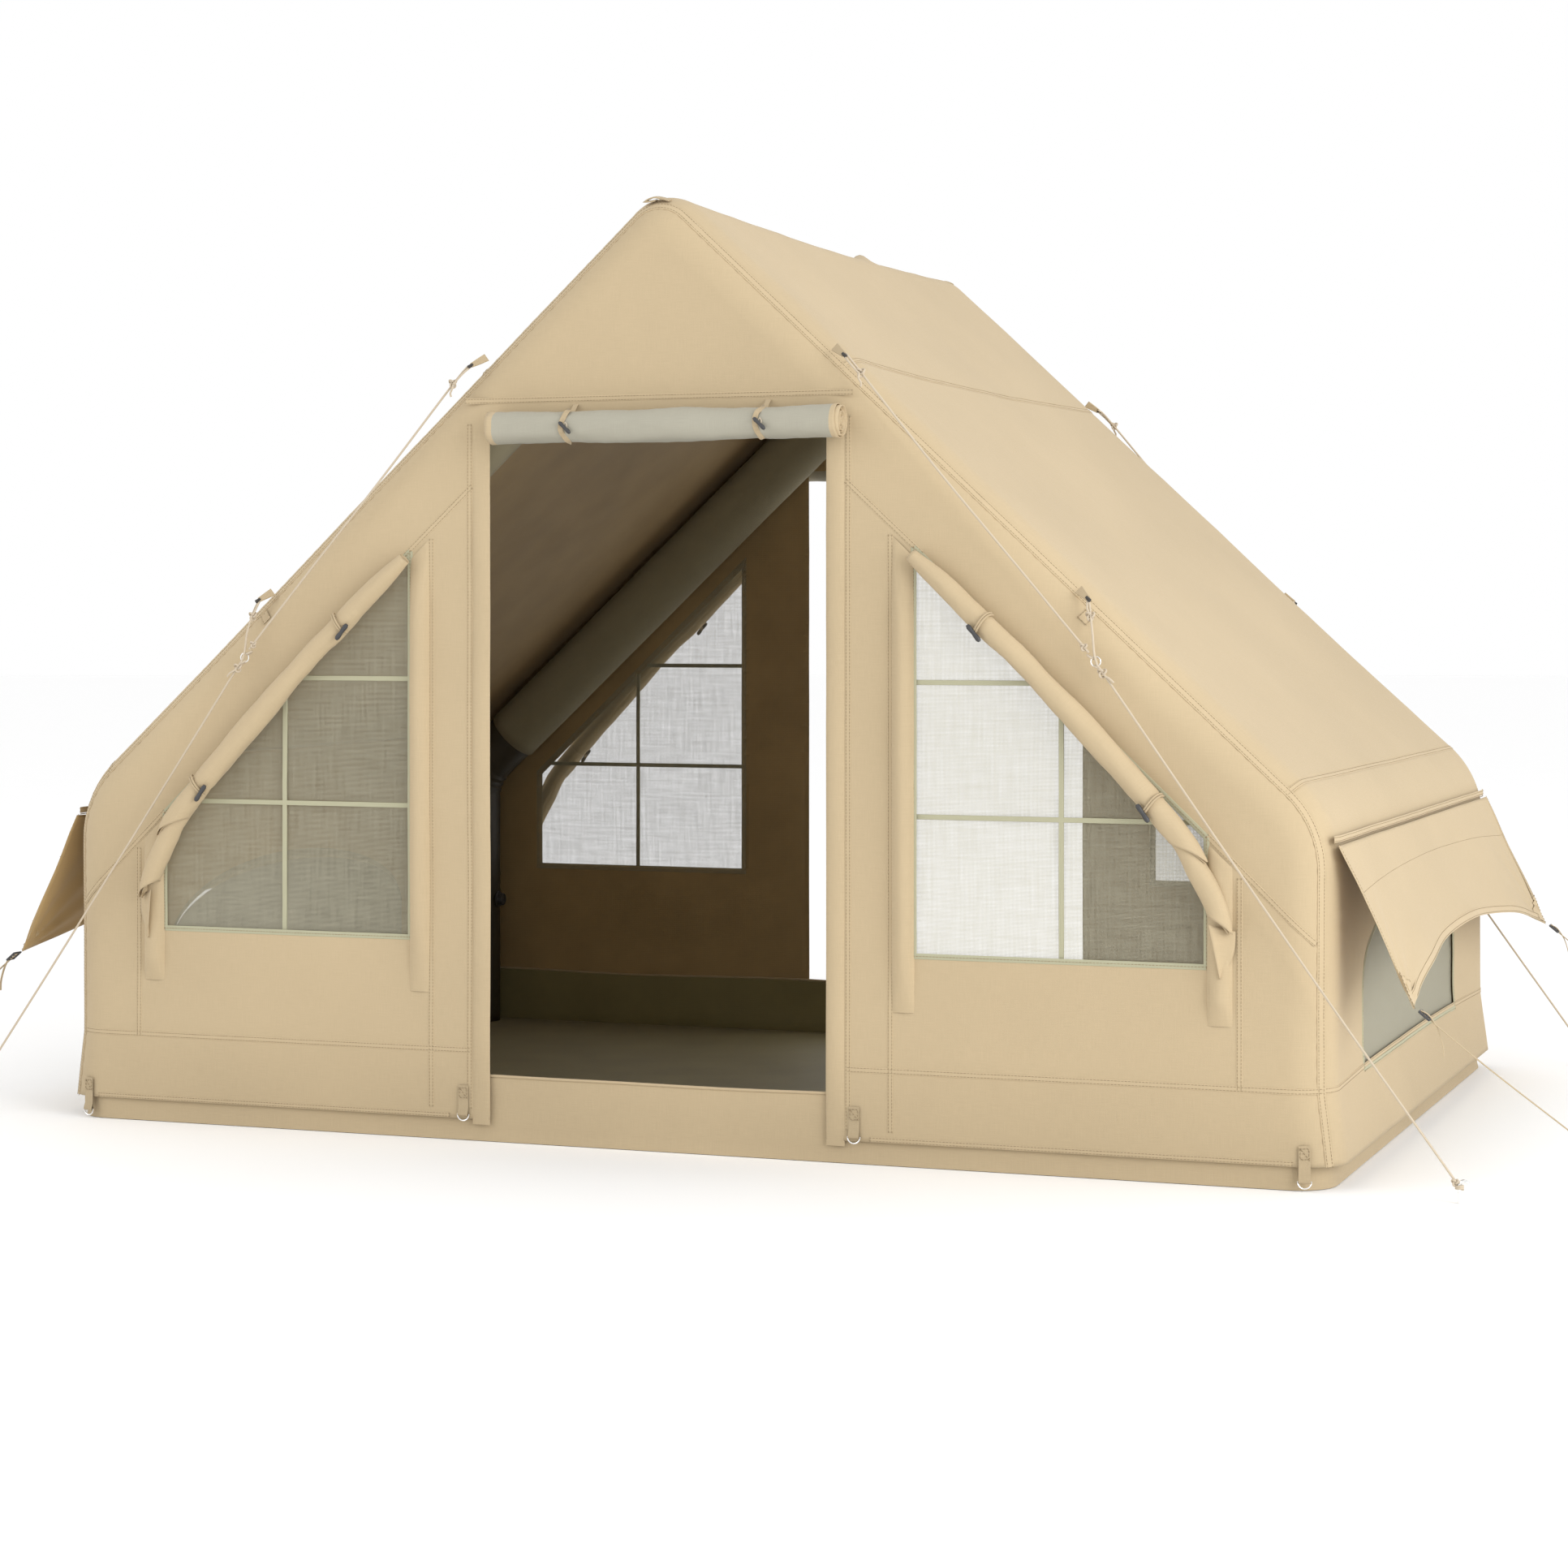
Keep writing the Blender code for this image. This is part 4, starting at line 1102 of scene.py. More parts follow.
class DoorRolls(bpy.types.Operator):
    """The two doors rolled up over their doorways, wound as one length of cloth, with loops and toggles"""
    bl_idname = "tent.door_rolls"
    bl_label = "Door rolls"

    def execute(self, context):
        drape = draper()
        for end in ("front", "rear"):
            turned = end == "rear"
            centre = Vector((DOOR_ROLL_SHIFT, -HALF_DEPTH - DOOR_ROLL_R - 0.001, DOOR_ROLL_Z))
            piece = self.roll(end, centre, turned)
            self.ties(drape, end, centre, turned)
        return {"FINISHED"}

    def radius(self, x, turn):
        """The roll's outer radius: slack between its ties, tight at them, with folds that run round it."""
        slack = min(abs(x - mark) for mark in (-0.226, 0.234)) / 0.2
        folds = noise.noise(Vector((x * 9, math.cos(turn) * 1.4, math.sin(turn) * 1.4)))
        fine = noise.noise(Vector((x * 34, math.cos(turn) * 2.5, math.sin(turn) * 2.5)))
        return 0.0335 + 0.0045 * min(slack, 1.0) + 0.0034 * folds + 0.0013 * fine

    def roll(self, end, centre, turned):
        rounds, steps, across = 8, 26, 110
        tight = 0.15
        rows, uvs = [], []
        total = 0.0
        for k in range(rounds * steps + 1):
            turn = 2 * math.pi * k / steps
            level = tight + (1 - tight) * k / (rounds * steps)
            row, uv = [], []
            for j in range(across + 1):
                x = DOOR_ROLL_LENGTH * (j / across - 0.5)
                size = level * self.radius(x, turn)
                stagger = 0.006 * math.sin(2.1 * k / steps) * (1 if j in (0, across) else 0)
                sag = -0.002 * math.sin(math.pi * j / across)
                angle = -turn + 0.9
                row.append(centre + Vector((x + stagger, size * math.cos(angle) * 0.96, size * math.sin(angle) + sag)))
                uv.append((x, total))
            total += 2 * math.pi / steps * level * 0.037
            rows.append(row)
            uvs.append(uv)
        self.wound = total
        bm = bmesh.new()
        net(bm, rows, uvs, 0, flip=True)
        for face in bm.faces:
            if abs(face.calc_center_median().x - centre.x) > DOOR_ROLL_LENGTH / 2 - 0.012:
                face.material_index = 1
        piece = add_piece(f"{end}_door_roll", bm, ("door_coating", "canvas_binding"), stands_for=(f"door_roll_{end}",),
                          half_turn=turned)
        return give_wall(piece, 0.0012)

    def ties(self, drape, end, centre, turned):
        bm = bmesh.new()
        for x in (-0.19, 0.27):
            path = []
            for k in range(29):
                angle = math.radians(118 - 250 * k / 28)
                size = self.radius(x - centre.x, -(angle - 0.9)) + 0.0012
                path.append(Vector((x + 0.004 * math.sin(k * 0.35), centre.y - size * math.cos(angle) * 0.98,
                                    centre.z + size * math.sin(angle))))
            path = [Vector((x, -HALF_DEPTH - 0.002, centre.z + 0.052))] + path
            sweep(bm, path, rectangle(0.012, 0.0016), up=Vector((0, -1, 0.02)), slot=0)
            out = Vector((0, -1, 0.05)).normalized()
            place = Vector((x + 0.008, centre.y - self.radius(x - centre.x, 0.9) - 0.0015, centre.z - 0.004))
            toggle(bm, place, Vector((0.72, 0, -0.69)), out, 1)
            for lean in (-1, 1):
                loop = [place + Vector((lean * 0.004 * math.sin(math.pi * k / 8), -0.001,
                                        0.016 * (k / 8 - 0.2))) for k in range(9)]
                sweep(bm, loop, circle(0.0012, 6), slot=2)
        add_piece(f"{end}_door_ties", bm, ("webbing", "dark_plastic", "guy_cord"),
                  half_turn=turned, outward=True)


class WindowFlaps(bpy.types.Operator):
    """Window flaps rolled along the slanted edges of their windows, with toggles"""
    bl_idname = "tent.window_flaps"
    bl_label = "Window flaps"

    def execute(self, context):
        drape = draper()
        for end in ("front", "rear"):
            for side in (1, -1):
                turned = end == "rear"
                hand = "right" if (side > 0) != turned else "left"
                self.flap(end, hand, side, turned)
        return {"FINISHED"}

    def wound(self, bm, path, size, hand, rounds, skew, flat=0.86):
        """Cloth wound round a path; its outer end is cut askew, longer on the side away from the window."""
        far = lengths(path)
        steps = 20
        rows, uvs = [], []
        for k in range(rounds * steps + 1):
            level = 0.42 + 0.58 * k / (rounds * steps)
            angle = 2 * math.pi * k / steps - 1.1
            away = -hand * math.cos(angle)
            row, uv = [], []
            for point, (ahead, side, out), along in zip(path, headings(path, Vector((0, -1, 0))), far):
                share = along / far[-1]
                ripple = noise.noise(Vector((along * 11, math.cos(angle) * 1.2, math.sin(angle) * 1.2)))
                fine = noise.noise(Vector((along * 38, math.cos(angle) * 2.2, math.sin(angle) * 2.2)))
                reach = size(share) * level * (1 + 0.13 * ripple + 0.04 * fine)
                slip = skew * (away + 0.6 * max(away, 0.0) ** 4) * ease(0.8, 1.0, share)
                row.append(point + ahead * slip + side * reach * math.cos(angle)
                           + out * reach * flat * math.sin(angle))
                uv.append((along, k * 0.008))
            rows.append(row)
            uvs.append(uv)
        net(bm, rows, uvs)

    def flap(self, end, hand, side, turned):
        y = -HALF_DEPTH - FLAP_OUT
        path = smooth_route([(side * x, y, z) for x, z in FLAP_ROUTE], 110)
        fold, last = (next(k for k, point in enumerate(path) if point.z < z) for z in FLAP_HEMS)
        bm = bmesh.new()

        def upper_size(share):
            x = abs(path[int(share * fold)].x)
            waist = sum(0.0045 * math.exp(-((x - mark) / 0.035) ** 2) for mark in TOGGLE_X)
            swell = 0.75 * ease(-0.06, 0.15, share) + 0.25 * ease(0.2, 0.4, share)
            return 0.013 + (FLAP_R - 0.013) * swell - waist

        self.wound(bm, path[:fold], upper_size, side, 3, 0.030)
        lower = [p + Vector((0, 0.004, 0)) for p in path[fold - 10:last]]
        self.wound(bm, lower, lambda share: 0.0275, side, 2, 0.020)
        self.tail(bm, side, y)
        piece = add_piece(f"{end}_{hand}_window_flap", bm, ("canvas", "canvas"),
                          stands_for=(f"window_flap_{end}_{hand}",), half_turn=turned)
        give_wall(piece, 0.0011)
        ties = bmesh.new()
        for x in TOGGLE_X:
            spot = min(range(fold), key=lambda k: abs(path[k].x - side * x))
            ahead, across, out = headings(path, Vector((0, -1, 0)))[spot]
            inward = across * side
            edge = upper_size(spot / fold)
            for shift in (-0.0026, 0.0026):
                loop = []
                for k in range(27):
                    angle = math.radians(20 + 165 * k / 26)
                    loop.append(path[spot] + inward * (edge + 0.0035) * math.cos(angle)
                                + out * (edge * 0.88 + 0.0032) * math.sin(angle)
                                + ahead * (shift + 0.003 * math.sin(angle * 2)))
                sweep(ties, loop, circle(0.0023, 7), up=ahead, slot=1)
            toggle(ties, path[spot] + inward * edge * 0.74 + out * edge * 0.70 + ahead * 0.004,
                   (ahead + inward * 0.12).normalized(),
                   (out + inward * 0.7).normalized(), 0, 0.044, 0.0056)
        add_piece(f"{end}_{hand}_flap_ties", ties, ("dark_plastic", "webbing"),
                  half_turn=turned, outward=True)

    def tail(self, bm, side, y):
        """The loose corner of the flap, a folded triangle that droops from inside the end of its roll."""
        inner, outer, tip = (Vector((side * x, y, z)) for x, z in FLAP_TAIL)
        rows, uvs = [], []
        for k in range(17):
            share = (k / 16) * 0.985
            row, uv = [], []
            for j in range(9):
                v = j / 8
                point = inner.lerp(outer, v).lerp(tip, share)
                bow = Vector((side * 0.010 * math.sin(math.pi * share) * v, 0, 0))
                fold = Vector((0, (0.022 * v - 0.016 * (1 - v) ** 3) * (1 - 0.6 * share) + 0.010 * share, 0))
                row.append(point + bow + fold)
                uv.append((share * 0.13, v * 0.05))
            rows.append(row)
            uvs.append(uv)
        net(bm, rows, uvs, 0)


# ---------------------------------------------------------------- side awnings

def awning_point(drape, u, v):
    """A point of the right awning: u from -1 to 1 along it, v from 0 at its seam to 1 at its scalloped edge."""
    hinge, tip = Vector(AWNING_HINGE), Vector(AWNING_TIP)
    down = (tip - hinge).normalized()
    out = Vector((-down.y, down.x))
    long = (tip - hinge).length - AWNING_SCALLOP * (1 - u * u)
    flat = hinge + down * long * v
    top = drape(Vector((AWNING_HINGE[0], AWNING_HALF * u, AWNING_HINGE[1])), Vector((1, 0, 0)), 0.0, 0.3)
    flat.x += (top.x - AWNING_HINGE[0]) * (1 - v) ** 1.5 + 0.0045 * (1 - v) ** 0.8
    flat.y -= 0.004 * (1 - v)
    sag = bpy.context.scene.tent_shape.awning_sag
    bow = -sag * math.sin(math.pi * min(v * 1.1, 1.0)) * (1 - u ** 4) * 0.7
    pull = 0.0
    for end in (-1, 1):
        across = math.hypot((u - end) * AWNING_HALF, (v - 1) * AWNING_LONG)
        fan = math.atan2((1 - v) * AWNING_LONG, abs(u - end) * AWNING_HALF + 1e-4)
        pull += 0.0045 * math.sin(fan * 13) * math.exp(-across / 0.22) * ease(0.01, 0.08, across)
    soft = 0.005 * noise.noise(Vector((u * 4.1, v * 2.3, 5.5))) * ease(0.0, 0.25, v)
    wave = 0.004 * math.sin(u * 9 + 1.3) * v * v
    flat += out * (bow + pull + soft + wave)
    return Vector((flat.x, AWNING_HALF * u, flat.y)), Vector((out.x, 0, out.y))


class Awnings(bpy.types.Operator):
    """The two side awnings, each one sagging sheet with a hem, corner patches and buckles"""
    bl_idname = "tent.awnings"
    bl_label = "Awnings"

    def execute(self, context):
        drape = draper()
        for side in ("right", "left"):
            turned, body = side == "left", f"{side}_awning"
            bm = bmesh.new()
            rows, uvs = [], []
            for i in range(41):
                rows.append([awning_point(drape, k / 75 - 1, i / 40)[0] for k in range(151)])
                uvs.append([((k / 75 - 1) * AWNING_HALF, AWNING_LONG * i / 40) for k in range(151)])
            net(bm, rows, uvs, flip=True)
            face_out(bm)
            piece = add_piece(f"{side}_awning_canvas", bm, ("canvas", "canvas_lining_painted_glow"), body,
                              (f"awning_{side}",), turned)
            give_wall(piece, 0.0012, 1)
            self.hems(drape, side, turned, body)
            self.seam(drape, side, turned)
        return {"FINISHED"}

    def path(self, drape, marks):
        return [awning_point(drape, u, v) for u, v in marks]

    def hems(self, drape, side, turned, body):
        edge = [(k / 60 - 1, 0.966) for k in range(121)]
        ends = [[(end * 0.991, k / 20) for k in range(21)] for end in (-1, 1)]
        middle = [(k / 40 - 1, 0.30) for k in range(81)]
        bm = bmesh.new()
        band(bm, self.path(drape, edge), 0.020, 0.0008)
        for marks in ends:
            band(bm, self.path(drape, marks), 0.014, 0.0008)
        rows = [beside(self.path(drape, edge), shift, 0.0012) for shift in (0.007, -0.007)]
        rows += [beside(self.path(drape, marks), 0.0, 0.0011) for marks in ends]
        rows += [beside(self.path(drape, middle), 0.0, -0.0001)]
        for end in (-1, 1):
            patch, uvs = [], []
            for i in range(9):
                row, uv = [], []
                for k in range(9):
                    a, b = 0.075 * i / 8, 0.075 * k / 8 * (1 - 0.55 * i / 8)
                    point, normal = awning_point(drape, end * (1 - (a + 0.004) / AWNING_HALF),
                                                 1 - (b + 0.004) / AWNING_LONG)
                    row.append(point + normal * 0.0016)
                    uv.append((a, b))
                patch.append(row)
                uvs.append(uv)
            net(bm, patch, uvs, flip=end > 0)
            rows.append([patch[0][k] + Vector((0.0006, 0, 0.0003)) for k in range(9)])
            rows.append([patch[i][8] + Vector((0.0006, 0, 0.0003)) for i in range(9)])
            for a, b in ((0.022, 0.030), (0.034, 0.030)):
                slit = [awning_point(drape, end * (1 - a / AWNING_HALF), 1 - (b + k * 0.004) / AWNING_LONG)
                        for k in range(6)]
                band(bm, slit, 0.005, 0.0024, slot=1)
        face_out(bm)
        add_piece(f"{side}_awning_hems", bm, ("canvas_binding", "webbing"), body, (), turned)
        sew(f"{side}_awning_stitches", rows, body, turned)

    def seam(self, drape, side, turned):
        """The seam on the side wall that the awning hangs from, with a thin dark cord under it as a painted shadow
        line.
        """
        bm = bmesh.new()
        path = []
        for k in range(121):
            y = AWNING_HALF * (k / 60 - 1)
            normal = Vector((1, 0, 0))
            point = drape(Vector((WALL_X - 0.001, y, AWNING_HINGE[1] + 0.009)), normal, 0.0, 0.3)
            edge = ease(0.955, 1.05, abs(y)) * 0.012
            path.append((point - Vector((edge, 0, 0)), normal))
        band(bm, path, 0.014, 0.0016)
        # Painted shadow: a thin dark cord just under the seam stands for the shadow line below it.
        cord = [point + Vector((0.0006, 0, -0.0095)) for point, _ in path]
        sweep(bm, cord, circle(0.0012, 6), up=Vector((1, 0, 0)), slot=1)
        rows = [beside(path, shift, 0.0019) for shift in (0.004, -0.004)]
        add_piece(f"{side}_awning_seam", bm, ("canvas_binding", "thread"), "root", (), turned)
        sew(f"{side}_awning_seam_stitches", rows, "root", turned)


# ---------------------------------------------------------------- guy lines

def at_corner(points, sx, sy):
    return [Vector((sx * x, sy * y, z)) for x, y, z in points]


def knot(bm, place, size, cord, slot=0):
    """A small tied knot of cord."""
    path = []
    for k in range(48):
        t = 2 * math.pi * k / 48
        path.append(place + size * Vector((math.sin(t) + 2 * math.sin(2 * t), -math.sin(3 * t) * 1.2,
                                           math.cos(t) - 2 * math.cos(2 * t))) / 3)
    sweep(bm, path, circle(cord, 7), up=Vector((0.03, 1, 0.02)), slot=slot, closed=True)


def corner_turn(corner):
    """Maps the front right corner's directions to another corner."""
    sx, sy = CORNERS[corner]
    return lambda x, y, z: Vector((sx * x, sy * y, z))


class GuyLines(bpy.types.Operator):
    """Guy lines with their bridles, knots and fabric pull tabs, and the straps of the awnings"""
    bl_idname = "tent.guy_lines"
    bl_label = "Guy lines and straps"

    def execute(self, context):
        for corner, (sx, sy) in CORNERS.items():
            ties = self.ties(corner)
            bridle = smooth_route(at_corner(BRIDLE_ROUTE, sx, sy), 90)
            piece = self.cord(f"{corner}_bridle", bridle, f"bridle_{corner}")
            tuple(bridle[0])
            lengths(bridle)[-1]
            guy = smooth_route(at_corner(GUY_ROUTE, sx, sy), 140)
            piece = self.cord(f"{corner}_guy_line", guy, f"guy_line_{corner}")
            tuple(guy[0])
            lengths(guy)[-1]
            self.tabs(corner)
            self.strap(corner, sx, sy)
        return {"FINISHED"}

    def cord(self, name, path, node):
        bm = bmesh.new()
        sweep(bm, path, circle(CORD_R, 9))
        return add_piece(name, bm, ("guy_cord",), stands_for=(node,), outward=True)

    def ties(self, corner):
        """The knots, loops and loose ends on the bridle and on the guy line."""
        at = corner_turn(corner)
        thin = CORD_R * 0.92
        upper, lower = bmesh.new(), bmesh.new()
        second = [at(0.446, -1.056, 1.751), at(0.462, -1.067, 1.735), at(0.485, -1.070, 1.711)]
        sweep(upper, smooth_route(second, 14), circle(thin, 8))
        knot(upper, at(0.488, -1.066, 1.713), 0.0100, thin)
        end = [at(0.486, -1.068, 1.712), at(0.486, -1.074, 1.700), at(0.491, -1.073, 1.690), at(0.490, -1.071, 1.682)]
        sweep(upper, smooth_route(end, 16), circle(thin, 8))
        knot(upper, at(0.990, -1.085, 1.122), 0.0075, thin)
        self.round_ring(upper, at, 1.003, 1.101)
        self.round_ring(lower, at, 1.0185, 1.079)
        knot(lower, at(1.030, -1.085, 1.068), 0.0100, thin)
        end = [at(1.032, -1.086, 1.066), at(1.039, -1.090, 1.060), at(1.048, -1.091, 1.055), at(1.056, -1.089, 1.047)]
        sweep(lower, smooth_route(end, 16), circle(thin, 8))
        second = [at(0.990, -1.056, 1.221), at(0.993, -1.068, 1.203), at(0.999, -1.071, 1.188)]
        sweep(lower, smooth_route(second, 12), circle(thin, 8))
        knot(lower, at(1.000, -1.069, 1.187), 0.0100, thin)
        self.hitch(lower, at)
        return [add_piece(f"{corner}_{word}_knots", bm, ("guy_cord",), outward=True)
                for word, bm in (("bridle", upper), ("guy", lower))]

    def round_ring(self, bm, at, x, z):
        """The turn of cord that passes through the ring."""
        path = []
        for k in range(21):
            turn = 2 * math.pi * k / 20
            path.append(at(x + 0.0065 * math.cos(turn), -1.0805 + 0.0052 * math.sin(turn), z - 0.004 * math.cos(turn)))
        sweep(bm, path[:-1], circle(CORD_R * 0.9, 8), up=Vector((0.1, 0.2, 1)), closed=True)

    def hitch(self, bm, at):
        """Two turns and a knot round the peg."""
        path = []
        for k in range(41):
            turn = 4 * math.pi * k / 40
            path.append(at(1.770 + 0.0068 * math.cos(turn), -1.070 + 0.0068 * math.sin(turn), 0.028 + 0.0075 * k / 40))
        sweep(bm, path, circle(CORD_R, 8), up=Vector((0, 0, 1)))
        knot(bm, at(1.7615, -1.072, 0.042), 0.0070, CORD_R * 0.9)

    def tabs(self, corner):
        """Folded fabric pull tabs on the arch seam, with a dark plug at each end that is painted shade where the cord
        loops through.
        """
        at = corner_turn(corner)
        up = Vector((0, -CORNERS[corner][1], 0.25))
        bm = bmesh.new()
        for base, tip in (((0.418, -1.036, 1.772), (0.446, -1.057, 1.753)),
                          ((0.966, -1.036, 1.243), (0.991, -1.057, 1.224))):
            base, tip = at(*base), at(*tip)
            path = [base.lerp(tip, k / 10) for k in range(11)]

            def folded(share, along):
                half, thick = 0.0095 - 0.0045 * share, 0.0017 + 0.0008 * math.sin(math.pi * share)
                return [(-half, -thick), (half, -thick), (half + 0.0012, 0), (half, thick), (-half, thick),
                        (-half - 0.0012, 0)]

            sweep(bm, path, folded, up=up)
            ahead = (tip - base).normalized()
            # A short dark plug at the tab's tip, painted shade for the opening where the cord loops.
            sweep(bm, [tip - ahead * 0.004, tip + ahead * 0.004, tip + ahead * 0.009], circle(0.0040, 10), up=up, slot=1)
        add_piece(f"{corner}_pull_tabs", bm, ("webbing", "pull_tab_painted_shade"), outward=True)

    def strap(self, corner, sx, sy):
        """A flat webbing strap from the awning's corner to its peg, and its buckle."""
        side = "right" if sx > 0 else "left"
        route = smooth_route(at_corner(STRAP_ROUTE, sx, sy), 60)
        bm = bmesh.new()
        sweep(bm, route, rectangle(0.0078, 0.0018), up=Vector((sx * 0.6, 0, 0.8)))
        piece = add_piece(f"{corner}_awning_strap", bm, ("webbing",), body=None,
                          stands_for=(f"awning_strap_{corner}",), outward=True)
        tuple(route[4])
        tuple(route[44])
        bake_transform(piece)
        buckle = bmesh.new()
        ahead = (route[6] - route[0]).normalized()
        place = route[0] + ahead * 0.014 + Vector((0, 0, 0.002))
        across = Vector((0, 1, 0))
        over = ahead.cross(across).normalized()
        if over.z < 0:
            over.negate()
        corners = [(-0.013, -0.014), (0.013, -0.014), (0.013, 0.014), (-0.013, 0.014)]
        points = [place + ahead * a + across * b for a, b in corners]
        loop = []
        for one, two in zip(points, points[1:] + points[:1]):
            loop += [one.lerp(two, k / 6) for k in range(6)]
        sweep(buckle, loop, circle(0.0024, 8), up=over, closed=True)
        for shift in (-0.004, 0.005):
            bar = [place + ahead * shift + across * (k / 4 * 0.027 - 0.0135) for k in range(5)]
            sweep(buckle, bar, circle(0.0019, 7), up=over)
        extra = [route[0] + over * 0.003, route[0] + ahead * 0.02 + over * 0.006,
                 route[0] + ahead * 0.045 + over * 0.002 - Vector((0, 0, 0.008)),
                 route[0] + ahead * 0.060 - Vector((0, 0, 0.030)), route[0] + ahead * 0.062 - Vector((0, 0, 0.052))]
        sweep(buckle, smooth_route(extra, 18), rectangle(0.0078, 0.0014), up=Vector((sx * 0.6, 0, 0.8)), slot=1)
        held = add_piece(f"{corner}_strap_buckle", buckle, ("dark_plastic", "webbing"), f"{side}_awning", (),
                         outward=True)
        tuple(route[0])
        lengths(route)[-1]


class PatchesAndTabs(bpy.types.Operator):
    """Stitched patches under the pull tabs, ridge tabs, and the webbing tabs that hold the peg-out rings"""
    bl_idname = "tent.tabs"
    bl_label = "Patches and tabs"

    def execute(self, context):
        drape = draper()
        for end in ("front", "rear"):
            bm = bmesh.new()
            rows = []
            for side in (1, -1):
                self.patch(drape, bm, side, rows)
                for x, bar, top in TABS:
                    self.hem_tab(bm, side * x, bar, top, rows)
            self.ridge_tab(drape, bm)
            add_piece(f"{end}_patches_and_tabs", bm, ("webbing", "canvas_binding"),
                      half_turn=end == "rear")
            sew(f"{end}_tab_stitches", rows, half_turn=end == "rear")
        return {"FINISHED"}

    def patch(self, drape, bm, side, rows):
        centre, half = AT_SLOPE + 0.560, 0.011
        grid, uvs = [], []
        for i in range(9):
            t = centre + half * (i / 4 - 1)
            row = []
            for k in range(9):
                turn = math.radians(20 + 14 * k / 8)
                point, normal = on_skin(drape, t if side > 0 else 2 * AT_TOP - t, turn)
                row.append(point + normal * 0.0021)
            grid.append(row)
            uvs.append([(t, 0.1 * k / 8) for k in range(9)])
        net(bm, grid, uvs, 1, flip=side > 0)
        rows += [grid[0], grid[8], [row[0] for row in grid], [row[8] for row in grid]]

    def hem_tab(self, bm, x, bar, top, rows):
        """Webbing sewn to the hem, turned round its ring's bar and back up behind itself."""
        corner = HEM_X - EDGE_R
        turn = math.asin(max(0.0, (abs(x) - corner) / EDGE_R)) * math.copysign(1, x)
        foot = Vector((x, -HALF_DEPTH + EDGE_R * (1 - math.cos(turn)), 0))
        out = Vector((math.sin(turn), -math.cos(turn), 0))
        across = Vector((math.cos(turn), math.sin(turn), 0))
        route = [(0.0040, top), (0.0042, top - 0.012), (0.0040, bar + 0.014), (0.0078, bar + 0.004)]
        for k in range(1, 8):
            angle = math.radians(20 - 220 * k / 8)
            route.append((LOOP_OUT + 0.0038 * math.cos(angle), bar + 0.0038 * math.sin(angle)))
        route += [(0.0018, bar + 0.006), (0.0022, bar + 0.020), (0.0022, top - 0.004)]
        grid, uvs = [], []
        far = 0.0
        for k, (a, z) in enumerate(route):
            far += 0.0 if k == 0 else math.hypot(a - route[k - 1][0], z - route[k - 1][1])
            grid.append([foot + out * a + Vector((0, 0, z)) + across * TAB_WIDTH * (j / 6 - 0.5) for j in range(7)])
            uvs.append([(far, TAB_WIDTH * j / 6) for j in range(7)])
        net(bm, grid, uvs, 0)
        z0, z1 = top - 0.006, top - 0.028
        box = [(-0.009, z0), (0.009, z0), (0.009, z1), (-0.009, z1), (-0.009, z0), (0.009, z1)]
        rows.append([foot + out * 0.0050 + across * a + Vector((0, 0, z)) for a, z in box])

    def ridge_tab(self, drape, bm):
        """A short loop of webbing folded over at the crown of the arch."""
        top, normal = on_skin(drape, AT_TOP, math.radians(58))
        route = [top + Vector((0.018, 0, -0.0005)), top + Vector((-0.002, -0.002, 0.0055)),
                 top + Vector((-0.020, -0.003, 0.0075)), top + Vector((-0.037, -0.004, 0.001)),
                 top + Vector((-0.034, -0.004, -0.0015)), top + Vector((-0.014, -0.002, 0.001))]
        sweep(bm, smooth_route(route, 20), rectangle(0.024, 0.0032), up=Vector((0, -0.2, 1)), slot=0)


# ---------------------------------------------------------------- air beams and groundsheet

def arch_path(sleeve=False, step=0.03):
    """Centreline of an arch beam in its own plane, from the right foot over the crown to the left foot."""
    bend = KNEE_R - BEAM_INSET
    apex = APEX_Z - BEAM_INSET / math.cos(TILT)
    centre = Vector((0, apex - BEAM_CROWN_R / math.cos(TILT)))
    half = []
    if sleeve:
        half.append(Vector(((apex - SLEEVE_END_Z) / math.tan(TILT), SLEEVE_END_Z)))
    else:
        half.append(Vector((WALL_X - BEAM_INSET, 0.0045)))
        for k in range(13):
            turn = ROOF_TURN * k / 12
            half.append(KNEE_CENTRE + bend * Vector((math.cos(turn), math.sin(turn))))
    for k in range(9):
        turn = ROOF_TURN + (math.pi / 2 - ROOF_TURN) * k / 8
        half.append(centre + BEAM_CROWN_R * Vector((math.cos(turn), math.sin(turn))))
    route = half + [Vector((-p.x, p.y)) for p in reversed(half[:-1])]
    return line([(p.x, 0, p.y) for p in route], step)


